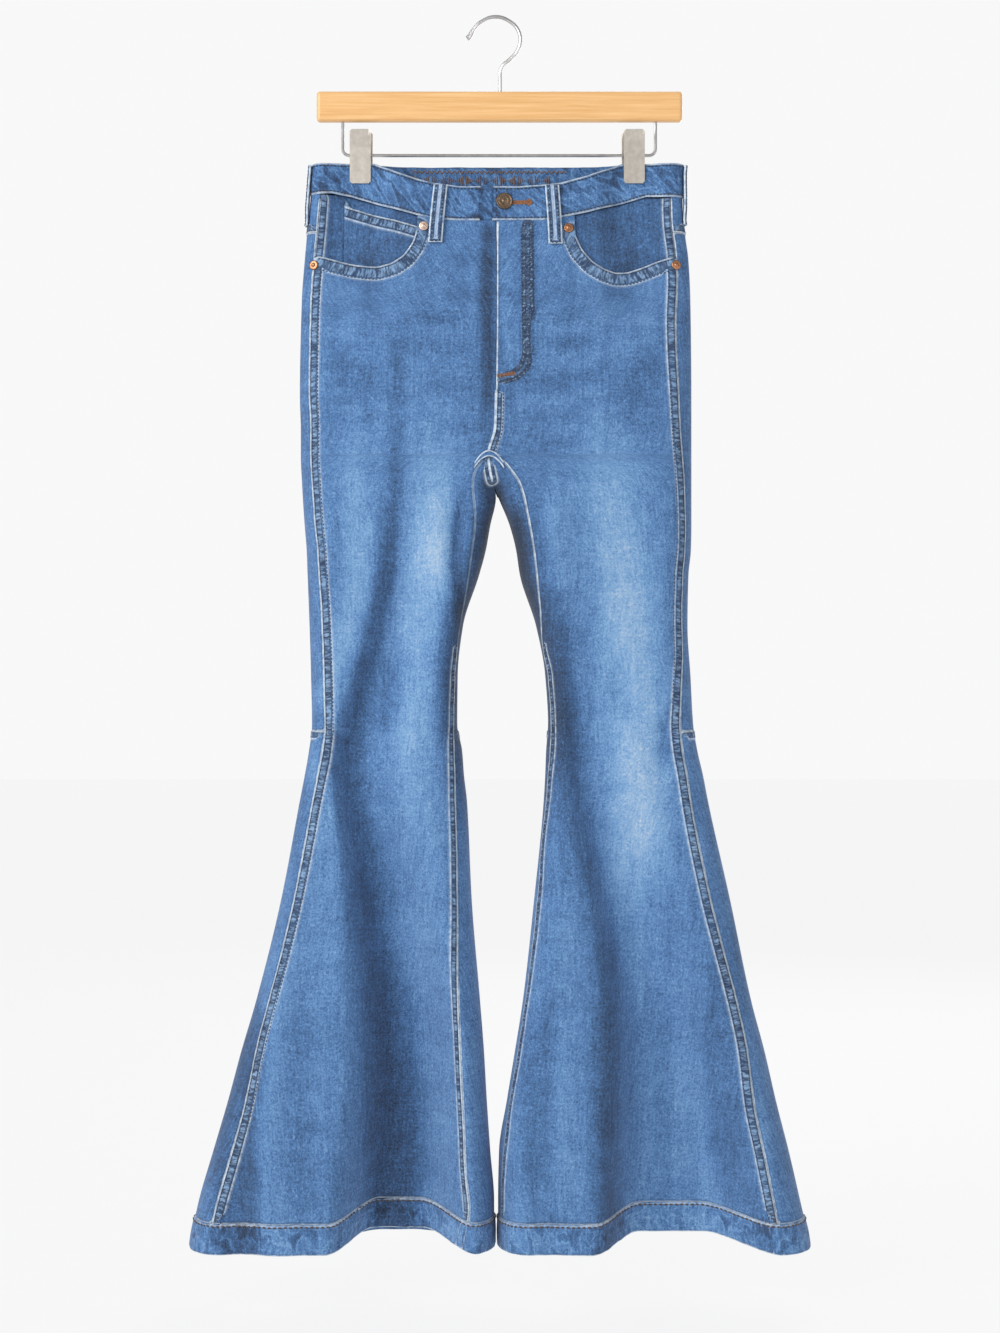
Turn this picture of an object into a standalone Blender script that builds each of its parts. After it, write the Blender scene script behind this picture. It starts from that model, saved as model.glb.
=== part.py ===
"""Flared jeans hung by the waistband from a wooden clip hanger.

Millimetre tables, metres in the scene, +Z up, fronts face -Y.  The origin is the inner top of the hook.
"r" is the wearer's right side (negative x), "l" the wearer's left.  Every cloth piece lies on one garment
form: `cloth` turns an angle round a tube, a height and a depth below the outer face into a point.
"""
import math

import bmesh
import bpy
import numpy as np
from mathutils import Matrix, Vector

MM = 0.001
HOOK_X = -4.5            # the tables count x from the fly, the hook hangs this far to its side

CLOTH = 1.8              # one layer of denim with its seam turnings
BAND_OUT = 0.8           # the waistband stands this far over the panels
BAND_THICK = 2.4
HEM_THICK = 3.0
SEAM = 0.3               # space left between two pieces at a seam
LAP_END_X = -7.0         # free end of the upper waistband
UNDERLAP_X = 20.0        # hidden end of the lower waistband

GAP_Z = -493.0           # top of the opening between the legs
CROSS_Z = -452.0         # where rise seam and inseams cross
KNEE_Z = -733.0
HEM_SEAM_Z = -1231.0
HEM_Z = -1262.0

# outer and inner edges of both legs seen from the front; above the crotch the inner edges are the centre seam
OUTLINE = (
    ("z", "out_r", "in_r", "in_l", "out_l"),
    (-1262, -319, -6.0, -1.5, 319), (-1217, -310, -6.0, -2, 309), (-1165, -295, -10, -1, 297),
    (-1114, -280, -13.5, 7, 284), (-1062, -266, -16.5, 15.5, 272), (-1011, -251, -20.5, 23.5, 258.5),
    (-908, -225.5, -29, 35, 237), (-805, -206, -34, 45, 214), (-779, -201, -37, 46.5, 209),
    (-753, -196.5, -39, 47.5, 203), (-728, -193.5, -44, 49.5, 199), (-676, -194.5, -43.5, 46.5, 196),
    (-625, -196, -38, 37, 193), (-573, -198, -21.5, 20.5, 194), (-547, -199, -14.5, 16.5, 196.5),
    (-522, -201, -10, 10, 197), (-493, -203, -4.2, -1.8, 197), (-474, -204, -9, -9, 197),
    (-452, -205, -12, -12, 197), (-424, -205, -5, -5, 197), (-390, -206, -4, -4, 197),
    (-290, -204, -3, -3, 196), (-249, -201, -3, -3, 194), (-207, -197, -4, -4, 188.5),
    (-166, -193.5, -5, -5, 187.5), (-145, -192.5, -5, -5, 189.5),
)
# how far the side seams lie in from the outline on the front face
SIDE_SEAM = (
    ("z", "r", "l"),
    (-1262, 22, 32), (-1130, 21, 27), (-1011, 15, 17), (-900, 15, 22), (-790, 15, 19), (-690, 15, 12),
    (-640, 15, 7.5), (-505, 12.5, 8), (-425, 12, 13), (-320, 11, 17), (-265, 11, 14), (-145, 10, 12),
)
# inseams on the front face
INSEAM = (
    ("z", "r", "l"),
    (-1262, -38, 1.5), (-1217, -31, 1.5), (-1180, -34.7, 2.5), (-1134, -36.5, 7), (-1062, -40, 18.5),
    (-970, -43, 31.5), (-912, -43.3, 38), (-850, -44.3, 43), (-787, -46, 49), (-728, -47.5, 52.5),
    (-676, -46.5, 49.5), (-640, -43, 43), (-611, -38, 41), (-557, -29.4, 35.5), (-517, -25, 29),
    (-481, -27.5, 20.2), (-468, -25, 11.6), (-458, -18, 3), (-452, -14.5, -9.5),
)
# half depths of the front and the rear, share of them kept at the sides, radii of outer and inner edge
DEPTH = (
    ("z", "front", "rear", "side", "r_out", "r_in"),
    (-1262, 52, 50, 0.95, 36, 34), (-1150, 47, 45, 0.95, 34, 34), (-1011, 40, 40, 0.95, 32, 32),
    (-860, 33, 35, 0.95, 30, 28), (-730, 30, 32, 0.95, 28, 26), (-640, 33, 35, 0.95, 30, 26),
    (-560, 37, 39, 0.9, 32, 26), (-480, 36, 44, 0.85, 32, 26), (-400, 33, 45, 0.8, 30, 26),
    (-300, 28, 38, 0.7, 24, 26), (-230, 22, 26, 0.6, 17, 26), (-183, 18, 17, 0.55, 13, 26),
    (-145, 16, 14, 0.55, 11, 26),
)
# flutes: the wall starts at x0, the floor runs from x1 to x2, the other wall ends at x3; depth inward
FLUTES = {
    ("r", "front"): (
        ("z", "x0", "x1", "x2", "x3", "depth"),
        (-1262, -177, -129, -82, -20, 66), (-1150, -170, -110, -88, -25, 60), (-1060, -162, -98, -88, -31, 54),
        (-908, -162, -126, -112, -50, 38), (-760, -175, -152, -143, -82, 21), (-647, -144, -120, -112, -62, 15),
        (-558, -126, -103, -97, -57, 9), (-490, -126, -103, -97, -57, 0),
    ),
    ("l", "front"): (
        ("z", "x0", "x1", "x2", "x3", "depth"),
        (-1262, 93, 144, 208, 285, 56), (-1150, 98, 148, 190, 268, 50), (-1070, 103, 149, 172, 247, 42),
        (-908, 88, 116, 130, 196, 28), (-745, 62, 84, 95, 144, 13), (-640, 60, 80, 92, 140, 5),
        (-560, 60, 80, 92, 140, 0),
    ),
    ("r", "rear"): (
        ("z", "x0", "x1", "x2", "x3", "depth"),
        (-1262, -268, -236, -214, -178, 36), (-1060, -236, -208, -192, -160, 24),
        (-860, -190, -165, -155, -125, 10), (-730, -180, -155, -145, -115, 0),
    ),
    ("l", "rear"): (
        ("z", "x0", "x1", "x2", "x3", "depth"),
        (-1262, 22, 48, 66, 96, 34), (-1060, 42, 66, 80, 108, 22),
        (-860, 70, 92, 104, 130, 9), (-730, 80, 100, 112, 140, 0),
    ),
}
# ridges on the rear behind the deep front flutes (depth outward)
RIDGES = {
    "r": (
        ("z", "x0", "x1", "x2", "x3", "depth"),
        (-1262, -160, -125, -90, -40, 22), (-1060, -160, -115, -90, -40, 18), (-860, -150, -125, -105, -60, 8),
        (-700, -150, -125, -105, -60, 0),
    ),
    "l": (
        ("z", "x0", "x1", "x2", "x3", "depth"),
        (-1262, 115, 155, 205, 258, 22), (-1060, 115, 150, 175, 230, 18), (-860, 105, 125, 145, 190, 8),
        (-700, 105, 125, 145, 190, 0),
    ),
}
# the clips press the waistband together at these places
PINCHES = (("x", "reach", "left"), (-143.6, 29, 3.0), (138.0, 29, 3.0))
PINCH_FADE = (("z", "share"), (-330, 0.0), (-260, 0.25), (-205, 0.75), (-175, 1.0), (-145, 1.0))

# top and lower edge of the waistband round the waist
WAIST_FRONT = (
    ("x", "top", "seam"),
    (-193, -151, -182.5), (-171, -150.5, -181), (-153, -150.3, -184), (-130, -150.5, -190.8),
    (-106, -160.7, -198.5), (-84, -168.3, -205), (-64, -172.8, -209.6), (-40, -176, -211),
    (20, -176.2, -211), (46, -174, -210.5), (64, -172, -207.5), (90, -164.5, -202), (124, -150.8, -192),
    (150, -150.5, -184), (167, -150.7, -185), (190, -151, -185.3),
)
WAIST_REAR = (
    ("x", "top", "seam"),
    (-193, -151, -182.5), (-171, -151, -185), (171, -151, -186.5), (190, -151, -185.3),
)
# the scooped front pocket openings, from the side seam inward
POCKET_OPENING = {
    "r": (
        ("x", "z"),
        (-186.5, -247), (-163, -253), (-148, -256.3), (-126, -258.5), (-110.5, -255), (-98.5, -247),
        (-89, -233.5), (-85, -220),
    ),
    "l": (
        ("x", "z"),
        (177, -248), (160, -253.2), (145.5, -259), (131, -264), (118, -264.7), (106.5, -261), (95, -254),
        (83.5, -241), (77, -226),
    ),
}
BAND_REAR = (-167, -158, -148, -138, -128, -115, -95, -70, -45, -20, 5, 30, 55, 78, 95, 108, 121, 132, 143, 154, 164)
WAIST_STEPS = {"r": (-84, -64, -40), "l": (76, 64, 46, 20)}

FACING_END = {"r": -73, "l": 66}
FACING_REACH = 14.0
FACING_INSET = {"r": 4.2, "l": 2.5}
FACING_THICK = 1.2
COIN_EDGE = (("x", "z"), (-162, -194), (-85, -217))

# heights shared by the panels
LEVELS = (-262, -275, -300, -335, -370, -405, -425, -452, -458, -468, -481, -493, -517, -557, -611, -670, KNEE_Z)
LOWER_LEVELS = (KNEE_Z, -787, -850, -930, -1011, -1080, -1150, -1195, HEM_SEAM_Z)
# angles of the back columns; negative ones are shares of the way to the side seam on the front face
BACK_COLUMNS = (-1.0, -0.5, 0.0, 0.27, 0.54, 0.82, 1.2, 1.57, 1.95, 2.32, 2.72, math.pi)
YOKE_DROP = (36, 36, 37, 39, 42, 46, 51, 56, 61, 66, 70, 74)
BACK_POCKET = (("column", "drop"), (5, -407), (6, -417), (7, -425), (8, -417), (9, -407))
BACK_POCKET_TOP = -275
INNER_COLUMNS = 2

# belt loops: face, x or angle share at top and foot, heights
LOOPS = (
    ("name", "face", "x_top", "x_foot", "top", "foot"),
    ("belt_loop_front_right", "front", -59.5, -65.4, -174.6, -234),
    ("belt_loop_front_left", "front", 52, 56, -175, -235.5),
    ("belt_loop_side_right", "side", -192.5, -197, -152, -214),
    ("belt_loop_side_left", "side", 189.5, 188.5, -152, -213),
    ("belt_loop_back", "rear", -5, -4, -152, -216),
)
LOOP_WIDTH = 14.0

COLORS = {
    "denim": (0.17, 0.33, 0.56, 1.0), "denim_dark": (0.12, 0.24, 0.42, 1.0), "copper": (0.42, 0.16, 0.07, 1.0),
    "bronze": (0.20, 0.14, 0.09, 1.0), "wood": (0.86, 0.52, 0.23, 1.0), "steel": (0.75, 0.74, 0.72, 1.0),
    "clip": (0.70, 0.62, 0.52, 1.0),
}


def column(table, name):
    """One named column of a table as an array."""
    place = table[0].index(name)
    return np.array([row[place] for row in table[1:]], dtype=float)


def straight(table, key, name, at):
    """Straight lines through the rows."""
    keys = column(table, key)
    order = np.argsort(keys)
    return np.interp(at, keys[order], column(table, name)[order])


def smooth(table, key, name, at):
    """A curve through the rows that never overshoots them."""
    keys = column(table, key)
    order = np.argsort(keys)
    x = keys[order]
    y = column(table, name)[order]
    steps = np.diff(x)
    rises = np.diff(y) / steps
    slopes = np.zeros_like(y)
    same = rises[:-1] * rises[1:] > 0
    w1 = 2 * steps[1:] + steps[:-1]
    w2 = steps[1:] + 2 * steps[:-1]
    safe = np.where(same, rises[:-1], 1.0)
    safe_next = np.where(same, rises[1:], 1.0)
    slopes[1:-1] = np.where(same, (w1 + w2) / (w1 / safe + w2 / safe_next), 0.0)
    slopes[0] = rises[0]
    slopes[-1] = rises[-1]
    at = np.clip(np.asarray(at, dtype=float), x[0], x[-1])
    k = np.clip(np.searchsorted(x, at) - 1, 0, len(x) - 2)
    t = (at - x[k]) / steps[k]
    h00 = (1 + 2 * t) * (1 - t) ** 2
    h10 = t * (1 - t) ** 2
    h01 = t * t * (3 - 2 * t)
    h11 = t * t * (t - 1)
    return h00 * y[k] + h10 * steps[k] * slopes[k] + h01 * y[k + 1] + h11 * steps[k] * slopes[k + 1]


def ease(q):
    q = np.clip(q, 0.0, 1.0)
    return q * q * (3 - 2 * q)


def rounded(q):
    """Quarter circle rise from an edge."""
    q = np.clip(q, 0.0, 1.0)
    return np.sqrt(1 - (1 - q) ** 2)


def flute(table, x, z):
    """Depth of a trough with two walls and a floor."""
    x0, x1, x2, x3, depth = (smooth(table, "z", name, z) for name in ("x0", "x1", "x2", "x3", "depth"))
    return depth * ease((x - x0) / (x1 - x0)) * (1 - ease((x - x2) / (x3 - x2)))


def edges(leg, z, inset):
    """x of the outer and the inner edge of a leg, or of both outer edges for the torso."""
    out_r = smooth(OUTLINE, "z", "out_r", z) + inset
    out_l = smooth(OUTLINE, "z", "out_l", z) - inset
    if leg == "torso":
        return out_r, out_l
    if leg == "r":
        return out_r, smooth(OUTLINE, "z", "in_r", z) - np.where(z > GAP_Z, 0.0, inset)
    return out_l, smooth(OUTLINE, "z", "in_l", z) + np.where(z > GAP_Z, 0.0, inset)


def half_depth(leg, x, z, rear, inset):
    """Signed distance of a face from the middle plane at one place."""
    out_r = smooth(OUTLINE, "z", "out_r", z)
    out_l = smooth(OUTLINE, "z", "out_l", z)
    full = np.where(rear, smooth(DEPTH, "z", "rear", z), smooth(DEPTH, "z", "front", z))
    share = np.clip((x - out_r) / (out_l - out_r), 0, 1)
    side = smooth(DEPTH, "z", "side", z)
    full = full * (side + (1 - side) * 4 * share * (1 - share))
    fade = smooth(PINCH_FADE, "z", "share", z)
    for x_clip, reach, left in PINCHES[1:]:
        press = fade * np.exp(-((x - x_clip) / reach) ** 4)
        full = full * (1 - press) + left * press
    right = x < 0 if leg == "torso" else np.full(np.shape(x), leg == "r")
    for wearer, mask in (("r", right), ("l", ~right)):
        inward = np.where(rear, flute(FLUTES[wearer, "rear"], x, z) - flute(RIDGES[wearer], x, z),
                          flute(FLUTES[wearer, "front"], x, z))
        full = np.where(mask, full - inward, full)
    d_out = np.where(right, x - out_r, out_l - x) - inset
    inner = np.where(right, smooth(OUTLINE, "z", "in_r", z) - x, x - smooth(OUTLINE, "z", "in_l", z))
    above = np.hypot(x - (-3.0), z - GAP_Z)
    d_in = np.where(z > GAP_Z, above, inner) - inset
    shape = rounded(d_out / smooth(DEPTH, "z", "r_out", z)) * rounded(d_in / smooth(DEPTH, "z", "r_in", z))
    return (full - inset) * shape


def cloth(leg, angle, z, inset):
    """Points of the garment form in millimetres; angle 0 is the outer edge, pi the inner, negative is front."""
    near, far = edges(leg, z, inset)
    x = near + (far - near) * (1 - np.cos(angle)) / 2
    rear = np.sin(angle) >= 0
    depth = half_depth(leg, x, z, rear, inset)
    return np.stack([x, np.where(rear, depth, -depth), z], axis=-1)


def angle_at(leg, x, z):
    """Angle on the front face that gives an x."""
    near, far = edges(leg, z, 0.0)
    return -np.arccos(np.clip(1 - 2 * (x - near) / (far - near), -1, 1))


def side_angle(leg, z):
    near, far = edges(leg, z, 0.0)
    return -np.arccos(1 - 2 * smooth(SIDE_SEAM, "z", leg, z) / np.abs(far - near))


def inner_angle(leg, z):
    """Angle of the front panel's inner edge: the centre seam above the crotch, the inseam below."""
    below = angle_at(leg, smooth(INSEAM, "z", leg, z), z)
    return np.where(z > CROSS_Z, -math.pi, below)


def turn_by(leg, angle, z, way, distance):
    """Angle whose point lies a distance away from the point at another angle."""
    here = cloth(leg, angle + way * 1e-5, z, 0.0)
    low = np.zeros(np.shape(angle))
    high = low + 0.8
    for _ in range(30):
        middle = (low + high) / 2
        far = np.linalg.norm(cloth(leg, angle + way * middle, z, 0.0) - here, axis=-1) > distance
        high = np.where(far, middle, high)
        low = np.where(far, low, middle)
    return angle + way * high


def open_edges(leg, angle, z, ends=(True, True), rows=(True, True)):
    """Draw the borders of a grid in by half a seam space."""
    angle = angle.copy()
    z = z.copy()
    half = SEAM / 2
    way = np.sign(angle[:, -1] - angle[:, 0])
    if ends[0]:
        angle[:, 0] = turn_by(leg, angle[:, 0], z[:, 0], way, half)
    if ends[1]:
        angle[:, -1] = turn_by(leg, angle[:, -1], z[:, -1], -way, half)
    if rows[0]:
        z[0] -= half
    if rows[1]:
        z[-1] += half
    return angle, z


def add_grid(bm, angle, z, inset):
    """A grid laid out as angle, height and inset, split along one diagonal."""
    rows, cols = angle.shape
    made = bmesh.ops.create_grid(bm, x_segments=cols - 1, y_segments=rows - 1, size=1.0)
    verts = sorted(made["verts"], key=lambda v: (round(v.co.y, 5), round(v.co.x, 5)))
    for face in {face for vert in verts for face in vert.link_faces}:
        order = sorted(face.verts, key=lambda v: (round(v.co.y, 5), round(v.co.x, 5)))
        bmesh.utils.face_split(face, order[0], order[3])
    for vert, a, h, t in zip(verts, angle.ravel(), z.ravel(), np.broadcast_to(inset, angle.shape).ravel()):
        vert.co = (a, h, t)
    return verts


def place(bm, name, kind, mapping, thickness, ring=None):
    """Give a laid-out sheet its thickness, set it on the form and make the object."""
    if ring:
        bmesh.ops.weld_verts(bm, targetmap=ring)
    grown = bmesh.ops.extrude_face_region(bm, geom=list(bm.faces), use_keep_orig=True)
    moved = [item for item in grown["geom"] if isinstance(item, bmesh.types.BMVert)]
    for vert in moved:
        vert.co.z += thickness
    data = np.array([vert.co[:] for vert in bm.verts])
    points = mapping(data[:, 0], data[:, 1], data[:, 2])
    points[:, 0] -= HOOK_X
    for vert, point in zip(bm.verts, points):
        vert.co = Vector(point) * MM
    bmesh.ops.recalc_face_normals(bm, faces=bm.faces)
    if bm.calc_volume(signed=True) < 0:
        bmesh.ops.reverse_faces(bm, faces=bm.faces)
    return finish(bm, name, kind)


def finish(bm, name, kind):
    mesh = bpy.data.meshes.new(name)
    bm.to_mesh(mesh)
    bm.free()
    obj = bpy.data.objects.new(name, mesh)
    return dress(obj, kind)


def dress(obj, kind):
    """Link an object and give it its own material."""
    collection.objects.link(obj)
    material = bpy.data.materials.new(obj.name)
    material.use_nodes = True
    shader = material.node_tree.nodes["Principled BSDF"]
    shader.inputs["Base Color"].default_value = COLORS[kind]
    shader.inputs["Roughness"].default_value = 0.9 if kind.startswith("denim") else 0.4
    shader.inputs["Metallic"].default_value = 1.0 if kind in ("copper", "bronze", "steel", "clip") else 0.0
    obj.data.materials.append(material)
    return obj


def on(leg):
    return lambda angle, z, inset: cloth(leg, angle, z, inset)


def blended(levels, tops, reach=70.0):
    """Heights that start on a top edge and come level below it; rows by columns, and the blend shares."""
    rows = []
    shares = []
    for level in levels:
        share = 1 - float(ease((levels[0] - level) / reach))
        rows.append(level + (tops - levels[0]) * share)
        shares.append(share)
    return np.array(rows), np.array(shares)


def front_panel(leg):
    """Front from the pocket opening and waist seam down to the hem."""
    opening = POCKET_OPENING[leg]
    points = [(x, z) for x, z in opening[1:]]
    for x in WAIST_STEPS[leg]:
        points.append((x, float(straight(WAIST_FRONT, "x", "seam", x)) - BAND_GAP))
    points.append((-3.5, float(straight(WAIST_FRONT, "x", "seam", -3.5)) - BAND_GAP))
    tops = np.array([z for _, z in points])
    xs = np.array([x for x, _ in points])
    count = len(points)
    share = np.linspace(0, 1, count)
    levels = np.array((-250,) + LEVELS + LOWER_LEVELS[1:], dtype=float)
    heights, blend = blended(levels, tops)
    near = side_angle(leg, heights)
    far = inner_angle(leg, heights)
    even = near + (far - near) * share
    wanted = angle_at(leg, np.broadcast_to(xs, heights.shape), heights)
    wanted[:, 0] = near[:, 0]
    wanted[:, -1] = far[:, -1]
    angle = even + (wanted - even) * blend[:, None]
    angle, heights = open_edges(leg, angle, heights)
    bm = bmesh.new()
    add_grid(bm, angle, heights, 0.0)
    return place(bm, "front_" + WORDS[leg], "denim", on(leg), CLOTH)


def back_angles(leg, z):
    """Angles of the back columns at each height (rows by columns)."""
    columns = np.array(BACK_COLUMNS)
    side = side_angle(leg, z)
    return np.where(columns < 0, -columns * side, columns)


def inner_angles(leg, z):
    """Angles from the inner edge to the inseam on the front face."""
    share = np.linspace(0, 1, INNER_COLUMNS + 1)
    end = 2 * math.pi + inner_angle(leg, z)
    return math.pi + (end - math.pi) * share


def yoke_tops(leg, angles):
    """Waist seam height over each back column."""
    z0 = np.full(angles.shape, -186.0)
    x = cloth("r" if leg == "r" else "l", angles, z0, 0.0)[:, 0]
    front = straight(WAIST_FRONT, "x", "seam", x)
    rear = straight(WAIST_REAR, "x", "seam", x)
    return np.where(angles < 0, front, rear) - BAND_GAP


def yoke(leg):
    drops = np.array(YOKE_DROP, dtype=float)
    top_angles = back_angles(leg, np.full((1, 1), -188.0))[0]
    tops = yoke_tops(leg, top_angles)
    feet = -186.0 - drops
    heights = np.array([tops + (feet - tops) * s for s in (0.0, 0.33, 0.67, 1.0)])
    angle = back_angles(leg, heights)
    angle, heights = open_edges(leg, angle, heights, rows=(False, True))
    bm = bmesh.new()
    add_grid(bm, angle, heights, 0.0)
    return place(bm, "back_yoke_" + WORDS[leg], "denim", on(leg), CLOTH)


def back_upper(leg):
    """Back from the yoke seam to the knee seam, wrapped round the inner thigh to the inseam."""
    tops = -186.0 - np.array(YOKE_DROP, dtype=float)
    levels = np.array((-235, -248) + LEVELS, dtype=float)
    heights, _ = blended(levels, tops, 35.0)
    angle = back_angles(leg, heights)
    above = heights[:, -1] > GAP_Z + 0.1
    angle[above, -1] = turn_by(leg, angle[above, -1], heights[above, -1], -1.0, SEAM / 2)
    angle, heights = open_edges(leg, angle, heights, ends=(True, False))
    bm = bmesh.new()
    add_grid(bm, angle, heights, 0.0)
    low = np.array([z for z in LEVELS if z <= CROSS_Z], dtype=float)
    strip_z = np.repeat(low[:, None], INNER_COLUMNS + 1, axis=1)
    strip = inner_angles(leg, strip_z)
    over = low > GAP_Z + 0.1
    strip[over, 0] = turn_by(leg, strip[over, 0], low[over], 1.0, SEAM / 2)
    strip, strip_z = open_edges(leg, strip, strip_z, ends=(False, True))
    add_grid(bm, strip, strip_z, 0.0)
    bmesh.ops.remove_doubles(bm, verts=bm.verts, dist=0.0001)
    return place(bm, "back_upper_" + WORDS[leg], "denim", on(leg), CLOTH)


def back_lower(leg):
    low = np.array(LOWER_LEVELS, dtype=float)
    heights = np.repeat(low[:, None], len(BACK_COLUMNS), axis=1)
    rear = back_angles(leg, heights)
    strip = inner_angles(leg, heights[:, :INNER_COLUMNS + 1])
    angle = np.concatenate([rear, strip[:, 1:]], axis=1)
    heights = np.repeat(low[:, None], angle.shape[1], axis=1)
    angle, heights = open_edges(leg, angle, heights)
    bm = bmesh.new()
    add_grid(bm, angle, heights, 0.0)
    return place(bm, "back_lower_" + WORDS[leg], "denim", on(leg), CLOTH)


def hem(leg):
    """The turned-up end of a leg as one thick ring."""
    low = np.array((HEM_SEAM_Z - SEAM / 2, (HEM_SEAM_Z + HEM_Z) / 2, HEM_Z))
    z = low[:, None]
    count = FRONT_COLUMNS_OF[leg]
    share = np.linspace(0, 1, count)
    near = side_angle(leg, z)
    far = inner_angle(leg, z)
    front = near + (far - near) * share
    strip = inner_angles(leg, z)[:, ::-1] - 2 * math.pi
    rear = back_angles(leg, z)[:, ::-1] - 2 * math.pi
    angle = np.concatenate([front, strip[:, 1:], rear[:, 1:]], axis=1)
    heights = np.repeat(z, angle.shape[1], axis=1)
    bm = bmesh.new()
    verts = add_grid(bm, angle, heights, 0.0)
    cols = angle.shape[1]
    ring = {verts[r * cols + cols - 1]: verts[r * cols] for r in range(len(low))}
    return place(bm, "hem_" + WORDS[leg], "denim", on(leg), HEM_THICK, ring)


def waistband():
    """One strip from the hidden right end round the back to the left end that laps over it."""
    front = column(WAIST_FRONT, "x")
    z0 = np.array(-170.0)
    near, far = edges("torso", z0, 0.0)
    corner = np.array([0.06, 0.12, 0.19, 0.27, 0.36])
    walk = []
    inner = [UNDERLAP_X, 8.0] + [x for x in front[::-1] if -180 < x < 8 and abs(x) > 4]
    for x in inner:
        walk.append(float(angle_at("torso", x, z0)))
    walk += list(-corner[::-1]) + [0.0] + list(corner)
    walk += [-float(angle_at("torso", x, z0)) for x in BAND_REAR]
    walk += list(math.pi - corner[::-1]) + [math.pi] + list(math.pi + corner)
    outer = [x for x in front[::-1] if 0 < x < 180] + [LAP_END_X]
    for x in outer:
        walk.append(2 * math.pi + float(angle_at("torso", x, z0)))
    walk = np.array(walk)
    lap = len(inner)
    x = near + (far - near) * (1 - np.cos(walk)) / 2
    on_front = np.sin(walk) < 0
    top = np.where(on_front, straight(WAIST_FRONT, "x", "top", x), straight(WAIST_REAR, "x", "top", x))
    foot = np.where(on_front, straight(WAIST_FRONT, "x", "seam", x), straight(WAIST_REAR, "x", "seam", x))
    heights = np.array([top + (foot - top) * s for s in (0.0, 0.5, 1.0)])
    angle = np.repeat(walk[None, :], 3, axis=0)
    inset = np.full(angle.shape, -BAND_OUT)
    under = (np.arange(len(walk)) < lap) & (x > LAP_END_X - 12)
    inset[:, under] += BAND_THICK + SEAM
    bm = bmesh.new()
    add_grid(bm, angle, heights, inset)
    return place(bm, "waistband", "denim", on("torso"), BAND_THICK)


def facing_rows(leg):
    """Grid of the pocket facing on the columns of the opening, from the side seam inward."""
    opening = POCKET_OPENING[leg]
    xs = np.append(column(opening, "x"), FACING_END[leg])
    tops = straight(WAIST_FRONT, "x", "seam", xs) - BAND_GAP - 0.8
    feet = np.append(column(opening, "z"), opening[-1][1]) - FACING_REACH
    heights = np.array([tops + (feet - tops) * s for s in (0.0, 0.25, 0.5, 0.75, 1.0)])
    angle = angle_at(leg, np.broadcast_to(xs, heights.shape), heights)
    angle[:, 0] = side_angle(leg, heights[:, 0])
    return open_edges(leg, angle, heights, ends=(True, False), rows=(False, False))


def pocket_facing(leg):
    angle, heights = facing_rows(leg)
    bm = bmesh.new()
    add_grid(bm, angle, heights, FACING_INSET[leg])
    return place(bm, "pocket_facing_" + WORDS[leg], "denim", on(leg), FACING_THICK)


def coin_pocket():
    """Small pocket between the right facing and the front panel, on the facing's own columns."""
    angle, heights = facing_rows("r")
    xs = column(POCKET_OPENING["r"], "x")
    xs = xs[1:]
    upper = straight(COIN_EDGE, "x", "z", xs)
    lower = heights[-1, 1:len(xs) + 1] + 3.0
    heights = np.array([upper + (lower - upper) * s for s in (0.0, 0.25, 0.5, 0.75, 1.0)])
    angle = angle_at("r", np.broadcast_to(xs, heights.shape), heights)
    bm = bmesh.new()
    add_grid(bm, angle, heights, CLOTH + 0.5)
    return place(bm, "coin_pocket", "denim", on("r"), 1.0)


def back_pocket(leg):
    """Patch pocket made on the back panel's own columns and rows, moved out."""
    columns = [int(c) for c in column(BACK_POCKET, "column")]
    feet = column(BACK_POCKET, "drop")
    tops = np.full(len(columns), float(BACK_POCKET_TOP))
    levels = [z for z in LEVELS if -405 <= z < BACK_POCKET_TOP]
    rows = [tops] + [np.full(len(columns), float(z)) for z in levels] + [feet]
    heights = np.array(rows)
    angle = back_angles(leg, heights[:, :1])[:, columns]
    bm = bmesh.new()
    add_grid(bm, angle, heights, -0.4 - 1.2)
    return place(bm, "back_pocket_" + WORDS[leg], "denim", on(leg), 1.2)


def belt_loop(name, face, x_top, x_foot, top, foot):
    """Narrow strip over the waistband, sewn down at both ends."""
    share = np.array([0.0, 0.25, 0.5, 0.72, 1.0])
    heights = np.repeat((top + (foot - top) * share)[:, None], 3, axis=1)
    centre = (x_top + (x_foot - x_top) * share)[:, None]
    across = np.array([-0.5, 0.0, 0.5])[None, :] * LOOP_WIDTH
    if face == "side":
        middle = np.full(heights.shape, 0.0 if x_top < 0 else math.pi)
        way = np.sign(across) + np.zeros(heights.shape)
        angle = turn_by("torso", middle, heights, way, np.abs(across))
    else:
        angle = angle_at("torso", centre + across, heights)
        if face == "rear":
            angle = -angle
    out = np.array([2.2, 2.4, 2.4, 2.1, 0.9])[:, None] + 1.6 + np.zeros((1, 3))
    bm = bmesh.new()
    add_grid(bm, angle, heights, -out)
    return place(bm, name, "denim", on("torso"), 1.6)


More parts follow.
